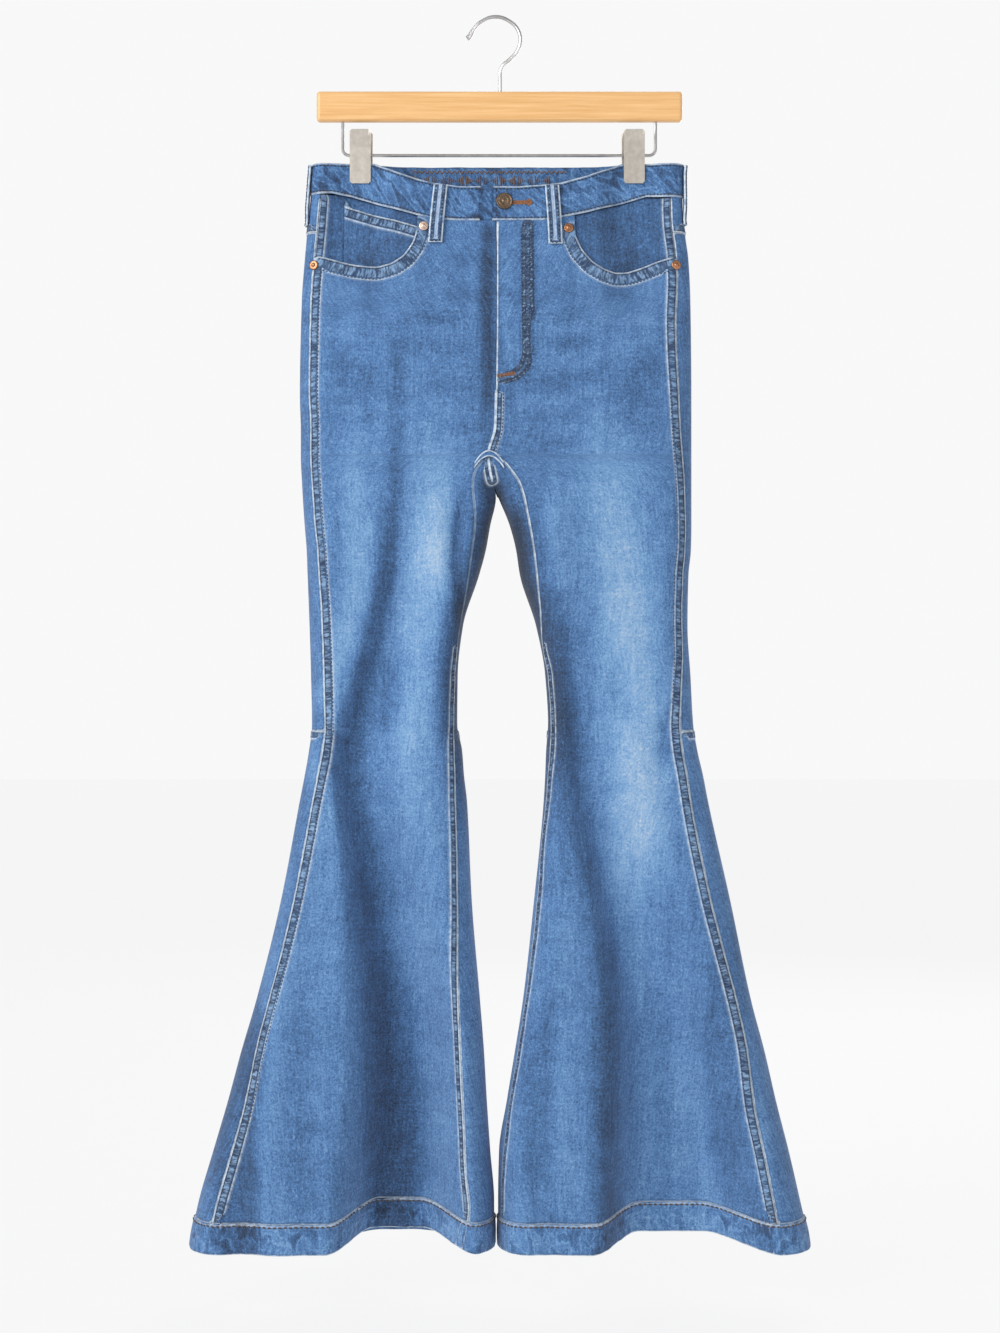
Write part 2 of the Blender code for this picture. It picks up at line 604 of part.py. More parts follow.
def stud(name, kind, x, z, radius, height, lift, rim):
    """Turned metal disc standing on the front face."""
    leg = "r" if x < -3 else "l"
    z0 = np.array(z)
    angle = angle_at(leg, x, z0)
    here = cloth(leg, angle, z0, 0.0)
    along = cloth(leg, angle_at(leg, x + 2, z0), z0, 0.0) - cloth(leg, angle_at(leg, x - 2, z0), z0, 0.0)
    up = cloth(leg, angle_at(leg, x, z0 + 2), z0 + 2, 0.0) - cloth(leg, angle_at(leg, x, z0 - 2), z0 - 2, 0.0)
    normal = Vector(np.cross(along, up)).normalized()
    if normal.y > 0:
        normal.negate()
    turn = normal.to_track_quat("Z", "Y").to_matrix().to_4x4()
    base = Vector(here) - Vector((HOOK_X, 0, 0)) + normal * lift
    bm = bmesh.new()
    bmesh.ops.create_cone(bm, cap_ends=True, segments=32, radius1=radius, radius2=radius, depth=height,
                          matrix=Matrix.Translation((0, 0, height / 2)))
    top_face = max(bm.faces, key=lambda f: f.calc_center_median().z)
    bmesh.ops.inset_region(bm, faces=[top_face], thickness=rim)
    for vert in top_face.verts:
        vert.co.z -= height * 0.3
    bmesh.ops.transform(bm, matrix=Matrix.Translation(base) @ turn, verts=bm.verts)
    bmesh.ops.scale(bm, vec=(MM, MM, MM), verts=bm.verts)
    bmesh.ops.recalc_face_normals(bm, faces=bm.faces)
    return finish(bm, name, kind)


def wire(name, kind, points, radius, knob=None):
    """Round wire bent through points (x, z); with a knob its first end is thickened."""
    data = bpy.data.curves.new(name, "CURVE")
    data.dimensions = "3D"
    data.bevel_depth = radius * MM
    data.bevel_resolution = 3
    data.resolution_u = 5
    data.use_fill_caps = True
    spots = [Vector(((x - HOOK_X) * MM, 0.0, z * MM)) for x, z in points]
    if knob:
        spline = data.splines.new("BEZIER")
        spline.bezier_points.add(len(spots) - 1)
        for point, spot in zip(spline.bezier_points, spots):
            point.co = spot
            point.handle_left_type = "AUTO"
            point.handle_right_type = "AUTO"
        spline.bezier_points[0].radius = knob
        spline.bezier_points[1].radius = knob
    else:
        spline = data.splines.new("POLY")
        spline.points.add(len(spots) - 1)
        for point, spot in zip(spline.points, spots):
            point.co = (*spot, 1.0)
    obj = bpy.data.objects.new(name, data)
    return dress(obj, kind)


def bar():
    bm = bmesh.new()
    bmesh.ops.create_cube(bm, size=1.0)
    size = Matrix.Diagonal((BAR_WIDTH * MM, BAR_DEPTH * MM, BAR_HEIGHT * MM, 1.0))
    middle = Matrix.Translation(((-0.5 - HOOK_X) * MM, 0.0, (BAR_TOP - BAR_HEIGHT / 2) * MM))
    bmesh.ops.transform(bm, matrix=middle @ size, verts=bm.verts)
    obj = finish(bm, "hanger_bar", "wood")
    bevel = obj.modifiers.new("edges", "BEVEL")
    bevel.width = 3.5 * MM
    bevel.segments = 3
    return obj


def clip_plate(name, x, way, bottom):
    """Sheet-metal jaw: the foot presses the waistband, the head stands off from the rod."""
    profile = CLIP_PROFILE
    z = np.linspace(CLIP_TOP, bottom, 9)
    off = smooth(profile, "z", "off", z)
    bm = bmesh.new()
    made = bmesh.ops.create_grid(bm, x_segments=4, y_segments=8, size=1.0)
    verts = sorted(made["verts"], key=lambda v: (-round(v.co.y, 5), round(v.co.x, 5)))
    for index, vert in enumerate(verts):
        row, col = divmod(index, 5)
        across = (-1.0, -0.8, 0.0, 0.8, 1.0)[col] * CLIP_WIDTH / 2
        end = row in (0, 8) and col in (0, 4)
        height = z[row] + (2.2 * (1 if row == 8 else -1) if end else 0.0)
        vert.co = ((x - HOOK_X + across) * MM, way * off[row] * MM, height * MM)
    bmesh.ops.recalc_face_normals(bm, faces=bm.faces)
    for face in bm.faces:
        face.normal_update()
    if sum(face.normal.y for face in bm.faces) * way < 0:
        bmesh.ops.reverse_faces(bm, faces=bm.faces)
    obj = finish(bm, name, "clip")
    skin = obj.modifiers.new("sheet", "SOLIDIFY")
    skin.thickness = CLIP_SHEET * MM
    skin.offset = 1.0
    return obj


def clip_spring(name, x):
    """Coiled spring round the rod, kept as one sleeve."""
    bm = bmesh.new()
    outer = bmesh.ops.create_circle(bm, segments=24, radius=SPRING_OUTER)["verts"]
    inner = bmesh.ops.create_circle(bm, segments=24, radius=SPRING_INNER)["verts"]
    loops = list({edge for vert in outer + inner for edge in vert.link_edges})
    bmesh.ops.bridge_loops(bm, edges=loops)
    grown = bmesh.ops.extrude_face_region(bm, geom=list(bm.faces), use_keep_orig=True)
    moved = [item for item in grown["geom"] if isinstance(item, bmesh.types.BMVert)]
    bmesh.ops.translate(bm, vec=(0, 0, SPRING_LENGTH), verts=moved)
    turn = Matrix.Rotation(math.pi / 2, 4, "Y")
    spot = Matrix.Translation((x - HOOK_X - SPRING_LENGTH / 2, 0.0, ROD_Z))
    bmesh.ops.transform(bm, matrix=spot @ turn, verts=bm.verts)
    bmesh.ops.scale(bm, vec=(MM, MM, MM), verts=bm.verts)
    bmesh.ops.recalc_face_normals(bm, faces=bm.faces)
    return finish(bm, name, "steel")


WORDS = {"r": "right", "l": "left"}
BAND_GAP = SEAM
FRONT_COLUMNS_OF = {leg: len(POCKET_OPENING[leg]) - 1 + len(WAIST_STEPS[leg]) + 1 for leg in WORDS}

BAR_WIDTH = 376.0
BAR_HEIGHT = 31.0
BAR_DEPTH = 12.0
BAR_TOP = -75.6
ROD_Z = -141.0
ROD_RADIUS = 1.7
HOOK_RADIUS = 1.9
CLIP_WIDTH = 21.5
CLIP_SHEET = 1.4
CLIP_TOP = -115.3
CLIP_PROFILE = (
    ("z", "off"),
    (-171, 4.7), (-160, 4.7), (-150, 4.8), (-146, 5.0), (-136, 5.2), (-115, 8.5),
)
SPRING_OUTER = 4.6
SPRING_INNER = 2.0
SPRING_LENGTH = 14.0
HOOK_PATH = (
    ("x", "z"),
    (-33.7, -20.4), (-32.2, -19.4), (-26.8, -10.5), (-19.0, -3.0), (-4.5, 1.9), (10.5, -3.2), (18.8, -12.2),
    (20.8, -23.2), (17.9, -33), (10.7, -41.5), (3.2, -48), (0.2, -54), (0.0, -62), (0.0, BAR_TOP + 0.2),
)
ROD_PATH = (
    ("x", "z"),
    (-161.8, -106.9), (-161.8, -134), (-161.2, -137), (-159.6, -139.2), (-157.4, -140.5), (-154.8, ROD_Z),
    (153.2, ROD_Z), (155.8, -140.5), (158, -139.2), (159.6, -137), (160.2, -134), (160.2, -106.9),
)
STUDS = (
    ("name", "kind", "x", "z", "radius", "height", "lift", "rim"),
    ("waist_button", "bronze", 4.5, -191.8, 8.6, 2.6, BAND_OUT + 0.4, 1.6),
    ("rivet_right_inner", "copper", -78.0, -217.0, 4.9, 1.2, 0.4, 1.4),
    ("rivet_right_outer", "copper", -190.0, -256.5, 4.9, 1.2, 0.4, 1.4),
    ("rivet_left_inner", "copper", 70.0, -219.0, 4.9, 1.2, 0.4, 1.4),
    ("rivet_left_outer", "copper", 180.0, -256.5, 4.9, 1.2, 0.4, 1.4),
)

for old in list(bpy.data.objects):
    bpy.data.objects.remove(old, do_unlink=True)
collection = bpy.data.collections.new("flared_jeans_on_hanger")
bpy.context.scene.collection.children.link(collection)

for wearer in WORDS:
    front_panel(wearer)
    yoke(wearer)
    back_upper(wearer)
    back_lower(wearer)
    hem(wearer)
    pocket_facing(wearer)
    back_pocket(wearer)
waistband()
coin_pocket()
for row in LOOPS[1:]:
    belt_loop(*row)
for row in STUDS[1:]:
    stud(*row)

bar()
wire("hanger_hook", "steel", HOOK_PATH[1:], HOOK_RADIUS, 1.45)
wire("hanger_rod", "steel", ROD_PATH[1:], ROD_RADIUS)
for side, clip_x in (("right", -143.6), ("left", 138.0)):
    clip_plate("clip_front_" + side, clip_x, -1.0, -170.6)
    clip_plate("clip_back_" + side, clip_x + (1.5 if side == "right" else -1.5), 1.0, -168.0)
    clip_spring("clip_spring_" + side, clip_x)
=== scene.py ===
import math

import bpy
import numpy as np
from mathutils import Matrix, Vector
from mathutils.kdtree import KDTree

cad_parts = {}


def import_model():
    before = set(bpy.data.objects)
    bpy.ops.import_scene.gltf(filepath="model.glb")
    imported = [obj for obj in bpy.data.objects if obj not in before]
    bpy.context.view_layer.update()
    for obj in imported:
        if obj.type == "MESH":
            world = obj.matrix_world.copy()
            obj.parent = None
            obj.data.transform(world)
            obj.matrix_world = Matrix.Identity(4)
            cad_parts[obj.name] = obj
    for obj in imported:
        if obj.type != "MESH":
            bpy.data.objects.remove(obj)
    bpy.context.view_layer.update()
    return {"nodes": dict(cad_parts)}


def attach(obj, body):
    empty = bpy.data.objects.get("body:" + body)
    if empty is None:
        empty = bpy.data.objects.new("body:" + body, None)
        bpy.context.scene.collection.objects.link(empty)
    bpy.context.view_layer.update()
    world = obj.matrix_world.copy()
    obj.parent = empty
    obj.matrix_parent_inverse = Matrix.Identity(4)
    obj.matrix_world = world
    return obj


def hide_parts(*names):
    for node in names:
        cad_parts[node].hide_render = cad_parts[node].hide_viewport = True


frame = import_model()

MM = 0.001
HOOK_X = -4.5            # the tables count x from the fly, the hook hangs this far to its side

CLOTH = 1.8              # one layer of denim with its seam turnings
BAND_OUT = 0.8           # the waistband stands this far over the panels
BAND_THICK = 2.4
SEAM = 0.3               # space left between two pieces at a seam
LAP_END_X = -7.0         # free end of the upper waistband
UNDERLAP_X = 20.0        # hidden end of the lower waistband

GAP_Z = -493.0           # top of the opening between the legs
CROSS_Z = -452.0         # where rise seam and inseams cross
KNEE_Z = -733.0
HEM_SEAM_Z = -1231.0
HEM_Z = -1262.0

# Outer and inner edges of both legs seen from the front; above the crotch the inner ones are the centre seam.
# These numbers come from a row scan of the photo, scaled to millimetres and rounded: see open fault 0 in
# report.md.
OUTLINE = (
    ("z", "out_r", "in_r", "in_l", "out_l"),
    (-1262, -319, -6.0, -1.5, 319), (-1217, -310, -6.0, -2, 309), (-1165, -295, -10, -1, 297),
    (-1114, -280, -13.5, 7, 284), (-1062, -266, -16.5, 15.5, 272), (-1011, -251, -20.5, 23.5, 258.5),
    (-908, -225.5, -29, 35, 237), (-805, -206, -34, 45, 214), (-779, -201, -37, 46.5, 209),
    (-753, -196.5, -39, 47.5, 203), (-728, -193.5, -44, 49.5, 199), (-676, -194.5, -43.5, 46.5, 196),
    (-625, -196, -38, 37, 193), (-573, -198, -21.5, 20.5, 194), (-547, -199, -14.5, 16.5, 196.5),
    (-522, -201, -10, 10, 197), (-493, -203, -4.2, -1.8, 197), (-474, -204, -9, -9, 197),
    (-452, -205, -12, -12, 197), (-424, -205, -5, -5, 197), (-390, -206, -4, -4, 197),
    (-290, -204, -3, -3, 196), (-249, -201, -3, -3, 194), (-207, -197, -4, -4, 188.5),
    (-166, -193.5, -5, -5, 187.5), (-145, -192.5, -5, -5, 189.5),
)
# how far the side seams lie in from the outline on the front face
SIDE_SEAM = (
    ("z", "r", "l"),
    (-1262, 22, 32), (-1130, 21, 27), (-1011, 15, 17), (-900, 15, 22), (-790, 15, 19), (-690, 15, 12),
    (-640, 15, 7.5), (-505, 12.5, 8), (-425, 12, 13), (-320, 11, 17), (-265, 11, 14), (-145, 10, 12),
)
# inseams on the front face
INSEAM = (
    ("z", "r", "l"),
    (-1262, -38, 1.5), (-1217, -31, 1.5), (-1180, -34.7, 2.5), (-1134, -36.5, 7), (-1062, -40, 18.5),
    (-970, -43, 31.5), (-912, -43.3, 38), (-850, -44.3, 43), (-787, -46, 49), (-728, -47.5, 52.5),
    (-676, -46.5, 49.5), (-640, -43, 43), (-611, -38, 41), (-557, -29.4, 35.5), (-517, -25, 29),
    (-481, -27.5, 20.2), (-468, -25, 11.6), (-458, -18, 3), (-452, -14.5, -9.5),
)
# half depths of the front and the rear, share of them kept at the sides, radii of outer and inner edge
DEPTH = (
    ("z", "front", "rear", "side", "r_out", "r_in"),
    (-1262, 52, 50, 0.95, 36, 34), (-1150, 47, 45, 0.95, 34, 34), (-1011, 40, 40, 0.95, 32, 32),
    (-860, 33, 35, 0.95, 30, 28), (-730, 30, 32, 0.95, 28, 26), (-640, 33, 35, 0.95, 30, 26),
    (-560, 37, 39, 0.9, 32, 26), (-480, 36, 44, 0.85, 32, 26), (-400, 33, 45, 0.8, 30, 26),
    (-300, 28, 38, 0.7, 24, 26), (-230, 22, 26, 0.6, 17, 26), (-183, 18, 17, 0.55, 13, 26),
    (-145, 16, 14, 0.55, 11, 26),
)
# flutes: the wall starts at x0, the floor runs from x1 to x2, the other wall ends at x3; depth inward
FLUTES = {
    ("r", "front"): (
        ("z", "x0", "x1", "x2", "x3", "depth"),
        (-1262, -177, -129, -82, -20, 66), (-1150, -170, -110, -88, -25, 60),
        (-1060, -162, -98, -88, -31, 54), (-908, -162, -126, -112, -50, 38),
        (-760, -175, -152, -143, -82, 21), (-647, -144, -120, -112, -62, 15),
        (-558, -126, -103, -97, -57, 9), (-490, -126, -103, -97, -57, 0),
    ),
    ("l", "front"): (
        ("z", "x0", "x1", "x2", "x3", "depth"),
        (-1262, 93, 144, 208, 285, 56), (-1150, 98, 148, 190, 268, 50), (-1070, 103, 149, 172, 247, 42),
        (-908, 88, 116, 130, 196, 28), (-745, 62, 84, 95, 144, 13), (-640, 60, 80, 92, 140, 5),
        (-560, 60, 80, 92, 140, 0),
    ),
    ("r", "rear"): (
        ("z", "x0", "x1", "x2", "x3", "depth"),
        (-1262, -268, -236, -214, -178, 36), (-1060, -236, -208, -192, -160, 24),
        (-860, -190, -165, -155, -125, 10), (-730, -180, -155, -145, -115, 0),
    ),
    ("l", "rear"): (
        ("z", "x0", "x1", "x2", "x3", "depth"),
        (-1262, 22, 48, 66, 96, 34), (-1060, 42, 66, 80, 108, 22),
        (-860, 70, 92, 104, 130, 9), (-730, 80, 100, 112, 140, 0),
    ),
}
# ridges on the rear behind the deep front flutes (depth outward)
RIDGES = {
    "r": (
        ("z", "x0", "x1", "x2", "x3", "depth"),
        (-1262, -160, -125, -90, -40, 22), (-1060, -160, -115, -90, -40, 18),
        (-860, -150, -125, -105, -60, 8),
        (-700, -150, -125, -105, -60, 0),
    ),
    "l": (
        ("z", "x0", "x1", "x2", "x3", "depth"),
        (-1262, 115, 155, 205, 258, 22), (-1060, 115, 150, 175, 230, 18), (-860, 105, 125, 145, 190, 8),
        (-700, 105, 125, 145, 190, 0),
    ),
}
# the clips press the waistband together at these places
PINCHES = (("x", "reach", "left"), (-143.6, 29, 3.0), (138.0, 29, 3.0))
PINCH_FADE = (("z", "share"), (-330, 0.0), (-260, 0.25), (-205, 0.75), (-175, 1.0), (-145, 1.0))

# top and lower edge of the waistband round the waist
WAIST_FRONT = (
    ("x", "top", "seam"),
    (-193, -151, -182.5), (-171, -150.5, -181), (-153, -150.3, -184), (-130, -150.5, -190.8),
    (-106, -160.7, -198.5), (-84, -168.3, -205), (-64, -172.8, -209.6), (-40, -176, -211),
    (20, -176.2, -211), (46, -174, -210.5), (64, -172, -207.5), (90, -164.5, -202), (124, -150.8, -192),
    (150, -150.5, -184), (167, -150.7, -185), (190, -151, -185.3),
)
WAIST_REAR = (
    ("x", "top", "seam"),
    (-193, -151, -182.5), (-171, -151, -185), (171, -151, -186.5), (190, -151, -185.3),
)
# the scooped front pocket openings, from the side seam inward
POCKET_OPENING = {
    "r": (
        ("x", "z"),
        (-186.5, -247), (-163, -253), (-148, -256.3), (-126, -258.5), (-110.5, -255), (-98.5, -247),
        (-89, -233.5), (-85, -220),
    ),
    "l": (
        ("x", "z"),
        (177, -248), (160, -253.2), (145.5, -259), (131, -264), (118, -264.7), (106.5, -261), (95, -254),
        (83.5, -241), (77, -226),
    ),
}
WAIST_STEPS = {"r": (-84, -64, -40), "l": (76, 64, 46, 20)}

FACING_END = {"r": -73, "l": 66}
FACING_REACH = 14.0
FACING_INSET = {"r": 4.2, "l": 2.5}
COIN_EDGE = (("x", "z"), (-162, -194), (-85, -217))

# belt loops: face, x or angle share at top and foot, heights
LOOPS = (
    ("name", "face", "x_top", "x_foot", "top", "foot"),
    ("belt_loop_front_right", "front", -59.5, -65.4, -174.6, -234),
    ("belt_loop_front_left", "front", 52, 56, -175, -235.5),
    ("belt_loop_side_right", "side", -192.5, -197, -152, -214),
    ("belt_loop_side_left", "side", 189.5, 188.5, -152, -213),
    ("belt_loop_back", "rear", -5, -4, -152, -216),
)
LOOP_WIDTH = 14.0

YOKE_DROP = (36, 36, 37, 39, 42, 46, 51, 56, 61, 66, 70, 74)
STUDS = (
    ("name", "kind", "x", "z", "radius", "height", "lift", "rim"),
    ("waist_button", "bronze", 4.5, -191.8, 8.6, 2.6, BAND_OUT + 0.4, 1.6),
    ("rivet_right_inner", "copper", -78.0, -217.0, 4.9, 1.2, 0.4, 1.4),
    ("rivet_right_outer", "copper", -190.0, -256.5, 4.9, 1.2, 0.4, 1.4),
    ("rivet_left_inner", "copper", 70.0, -219.0, 4.9, 1.2, 0.4, 1.4),
    ("rivet_left_outer", "copper", 180.0, -256.5, 4.9, 1.2, 0.4, 1.4),
)


def column(table, name):
    """One named column of a table as an array."""
    place = table[0].index(name)
    return np.array([row[place] for row in table[1:]], dtype=float)


scene = bpy.context.scene
camera_data = bpy.data.cameras.new("camera")
camera_data.lens = 68.2
camera_data.sensor_width = 36.0
camera_data.sensor_height = 36.0
camera_data.sensor_fit = "AUTO"
camera = bpy.data.objects.new("camera", camera_data)
scene.collection.objects.link(camera)
camera.location = (0.0045, -2.6, -0.667)
camera.rotation_euler = (math.pi / 2, 0.0, 0.0)
scene.camera = camera


# soft creases pressed into the form: a trough (or ridge, if depth < 0) from one place to another
CREASES = (
    ("leg", "face", "xa", "za", "xb", "zb", "width", "depth"),
    ("r", "front", -10, -294, -104, -289, 6, 1.0), ("r", "front", -10, -325, -110, -311, 7, 1.4),
    ("r", "front", -10, -356, -120, -342, 7, 1.3), ("r", "front", -10, -388, -105, -379, 8, 1.2),
    ("r", "front", -12, -424, -85, -428, 9, 1.4),
    ("l", "front", 36, -310, 116, -294, 6, 1.0), ("l", "front", 34, -341, 130, -320, 7, 1.4),
    ("l", "front", 16, -378, 126, -354, 8, 1.4), ("l", "front", 4, -414, 116, -392, 8, 1.2),
    ("l", "front", 2, -440, 95, -434, 9, 1.3),
    ("r", "front", -31, -468, -36, -640, 6, 5.0), ("l", "front", 20, -470, 43, -640, 7, 5.0),
    ("r", "front", -60, -470, -52, -610, 14, -2.5), ("l", "front", 62, -470, 66, -620, 16, -2.5),
    ("r", "front", -186, -690, -158, -800, 9, 4.0), ("r", "front", -190, -728, -140, -748, 6, 2.0),
    ("l", "front", 190, -722, 150, -738, 6, 2.0), ("l", "front", 186, -690, 168, -790, 10, 3.0),
    ("r", "front", -232, -980, -262, -1262, 20, 5.0), ("r", "front", -200, -900, -224, -1262, 16, -3.0),
    ("l", "front", 62, -960, 52, -1262, 16, 4.0), ("l", "front", 232, -900, 262, -1262, 18, 4.0),
    ("r", "front", -150, -215, -110, -330, 16, 1.5), ("l", "front", 150, -220, 118, -330, 16, 1.5),
    ("r", "front", -178, -300, -120, -430, 16, 2.0), ("l", "front", 178, -310, 130, -440, 16, 2.0),
    ("r", "front", -90, -640, -120, -760, 14, 2.5), ("l", "front", 120, -640, 150, -760, 14, 2.5),
    ("l", "front", 0, -228, 20, -250, 3.5, 1.3), ("l", "front", 1, -262, 18, -246, 3, -0.9),
    ("l", "front", 2, -270, 20, -300, 3.5, 1.4), ("l", "front", 0, -330, 19, -306, 3.5, 1.2),
    ("l", "front", 6, -312, 16, -352, 3, -1.0), ("l", "front", 0, -352, 12, -364, 3, 0.9),
    ("r", "front", -60, -232, -20, -262, 7, 1.2), ("r", "front", -56, -262, -18, -300, 8, 1.2),
    ("l", "front", 42, -240, 66, -276, 6, 1.0), ("l", "front", 40, -272, 80, -290, 6, 1.0),
    ("r", "rear", -20, -440, -140, -470, 12, 4.0), ("r", "rear", -20, -470, -120, -520, 12, 4.0),
    ("l", "rear", 14, -440, 134, -474, 12, 4.0), ("l", "rear", 14, -474, 118, -524, 12, 4.0),
    ("r", "rear", -60, -700, -180, -716, 9, 3.0), ("l", "rear", 60, -702, 184, -712, 9, 3.0),
    ("r", "rear", -50, -745, -170, -760, 10, 3.0), ("l", "rear", 60, -748, 176, -764, 10, 3.0),
    ("r", "rear", -70, -560, -110, -690, 16, 3.0), ("l", "rear", 74, -560, 112, -690, 16, 3.0),
    ("r", "rear", -30, -290, -120, -300, 10, 1.5), ("l", "rear", 24, -290, 116, -302, 10, 1.5),
    ("r", "rear", -150, -860, -250, -1262, 18, 5.0), ("l", "rear", 230, -900, 262, -1262, 18, 5.0),
)
# pale thighs of the wash, with painted shade and painted light, down each leg: middle, half width and how
# much paler
# the painted shade runs down the flute valleys and beside the fly edge, the painted light along flute ridges
WASH_AND_SHADE_COLUMNS = ("z", "x", "w", "more")
WASH_AND_SHADE_LINES = tuple((leg, face, (WASH_AND_SHADE_COLUMNS,) + rows) for leg, face, rows in (
    # painted shade down the flute valley of the right leg
    ("r", "front", ((-300, -100, 8, 0.0), (-350, -103, 9, -0.3), (-496, -108, 10, -0.45),
                    (-578, -118, 12, -0.65), (-661, -134, 12, -0.5), (-743, -150, 10, -0.45),
                    (-784, -152, 12, -0.4), (-867, -138, 17, -0.5), (-949, -129, 21, -0.6),
                    (-1073, -114, 26, -0.8), (-1262, -108, 30, -0.95))),
    # painted light along the ridge beside that valley, with the pale of the thigh
    ("r", "front", ((-390, -66, 22, 0.0), (-475, -68, 22, 0.5), (-558, -74, 24, 0.75),
                    (-661, -86, 24, 0.6), (-743, -91, 24, 0.55), (-805, -92, 24, 0.35),
                    (-908, -82, 24, 0.2), (-1073, -62, 24, 0.05))),
    ("r", "front", ((-330, -150, 18, 0.0), (-440, -150, 18, 0.3), (-558, -145, 17, 0.55),
                    (-640, -160, 14, 0.65), (-702, -178, 11, 0.6), (-760, -185, 10, 0.4),
                    (-850, -180, 14, 0.2), (-950, -190, 20, 0.1))),
    # painted shadow beside the fly edge
    ("r", "front", ((-209, -12, 7, 0.0), (-222, -12, 7, -0.6), (-300, -13, 8, -0.7),
                    (-380, -12, 7, -0.5), (-440, -14, 6, -0.2))),
    ("l", "front", ((-209, 6, 7, 0.0), (-222, 6, 7, 0.2), (-290, 7, 7, 0.35), (-360, 8, 6, 0.3),
                    (-385, 8, 6, 0.0))),
    ("l", "front", ((-209, 28, 6, 0.0), (-218, 28, 6, -0.6), (-300, 28, 6, -0.6), (-350, 27, 6, -0.5),
                    (-385, 20, 6, 0.0))),
    # painted light on the flute ridges of the left leg's flare
    ("l", "front", ((-950, 48, 25, 0.0), (-1120, 52, 30, 0.3), (-1262, 50, 30, 0.3))),
    ("l", "front", ((-950, 215, 40, 0.0), (-1120, 225, 45, 0.25), (-1262, 235, 50, 0.25))),
    ("r", "front", ((-950, -215, 40, 0.0), (-1100, -220, 45, -0.3), (-1262, -225, 50, -0.3))),
    # painted shade down the flute valley of the left leg
    ("l", "front", ((-470, 26, 9, 0.0), (-520, 36, 10, -0.3), (-575, 47, 11, -0.35),
                    (-661, 63, 12, -0.5), (-743, 69, 12, -0.6), (-825, 75, 14, -0.45),
                    (-887, 90, 17, -0.35), (-970, 107, 17, -0.5), (-1073, 108, 17, -0.6),
                    (-1262, 111, 17, -0.6))),
    ("l", "front", ((-400, 105, 30, 0.0), (-496, 113, 30, 0.65), (-578, 124, 32, 0.85),
                    (-661, 132, 32, 0.95), (-743, 142, 30, 1.05), (-825, 142, 30, 0.95),
                    (-908, 137, 24, 0.4), (-990, 146, 20, 0.1))),
    ("r", "rear", ((-270, -100, 50, 0.0), (-380, -100, 50, 0.45), (-520, -100, 30, 0.2),
                   (-700, -112, 30, 0.35), (-850, -130, 30, 0.0))),
    ("l", "rear", ((-270, 96, 50, 0.0), (-380, 96, 50, 0.45), (-520, 96, 30, 0.2),
                   (-700, 112, 30, 0.35), (-850, 130, 30, 0.0))),
))
FLY_EDGE = (("z", "x"), (-213, -2.5), (-260, -3.5), (-300, -5.5), (-330, -6.0), (-372, -3.6))
FLY_STITCH = {
    "inner": (("x", "z"), (21.5, -218), (22, -280), (23, -340), (26, -352), (22.6, -364), (13, -369.5),
              (-3, -373)),
    "middle": (("x", "z"), (28, -216), (28.3, -280), (28.8, -338), (28.2, -352), (24, -363.5), (15, -371),
               (-2.5, -375.5)),
    "outer": (("x", "z"), (34, -218), (34.5, -280), (34.8, -337), (30, -361), (18, -373.5), (-3, -378)),
}

_curves = {}


def smooth(table, key, name, at):
    """A curve through the rows that never overshoots them."""
    if (id(table), name) not in _curves:
        keys = column(table, key)
        order = np.argsort(keys)
        x, y = keys[order], column(table, name)[order]
        steps = np.diff(x)
        rises = np.diff(y) / steps
        slopes = np.zeros_like(y)
        same = rises[:-1] * rises[1:] > 0
        w1, w2 = 2 * steps[1:] + steps[:-1], steps[1:] + 2 * steps[:-1]
        a, b = np.where(same, rises[:-1], 1.0), np.where(same, rises[1:], 1.0)
        slopes[1:-1] = np.where(same, (w1 + w2) / (w1 / a + w2 / b), 0.0)
        slopes[0], slopes[-1] = rises[0], rises[-1]
        fine = np.linspace(x[0], x[-1], int(x[-1] - x[0]) + 2)
        k = np.clip(np.searchsorted(x, fine) - 1, 0, len(x) - 2)
        t = (fine - x[k]) / steps[k]
        values = (1 + 2 * t) * (1 - t) ** 2 * y[k] + t * (1 - t) ** 2 * steps[k] * slopes[k]
        values = values + t * t * (3 - 2 * t) * y[k + 1] + t * t * (t - 1) * steps[k] * slopes[k + 1]
        _curves[id(table), name] = (fine, values)
    fine, values = _curves[id(table), name]
    return np.interp(at, fine, values)


def ease(q):
    q = np.clip(q, 0.0, 1.0)
    return q * q * (3 - 2 * q)


def rounded(q):
    q = np.clip(q, 0.0, 1.0)
    return np.sqrt(1 - (1 - q) ** 2)


def flute(table, x, z):
    x0, x1, x2, x3, depth = (smooth(table, "z", name, z) for name in ("x0", "x1", "x2", "x3", "depth"))
    return depth * ease((x - x0) / (x1 - x0)) * (1 - ease((x - x2) / (x3 - x2)))


def edges(leg, z, inset):
    out_r = smooth(OUTLINE, "z", "out_r", z) + inset
    out_l = smooth(OUTLINE, "z", "out_l", z) - inset
    if leg == "torso":
        return out_r, out_l
    if leg == "r":
        return out_r, smooth(OUTLINE, "z", "in_r", z) - np.where(z > GAP_Z, 0.0, inset)
    return out_l, smooth(OUTLINE, "z", "in_l", z) + np.where(z > GAP_Z, 0.0, inset)


def creases(x, z, rear, right):
    """Depth of all the soft creases at a place."""
    total = np.zeros(np.shape(x))
    for leg, face, xa, za, xb, zb, width, depth in CREASES[1:]:
        dx, dz = xb - xa, zb - za
        length = math.hypot(dx, dz)
        along = ((x - xa) * dx + (z - za) * dz) / length ** 2
        bow = 0.06 * length * np.sin(math.pi * np.clip(along, 0, 1))
        off = ((x - xa) * dz - (z - za) * dx) / length - bow
        open_end = 0.0 if zb <= -1262 else 1.0
        ends = ease(along / 0.4) * (1 - open_end * ease((along - 0.55) / 0.45)) * (along > 0)
        here = (right == (leg == "r")) & (rear == (face == "rear"))
        total += np.where(here, depth * ends * np.exp(-(off / width) ** 2), 0.0)
    return total


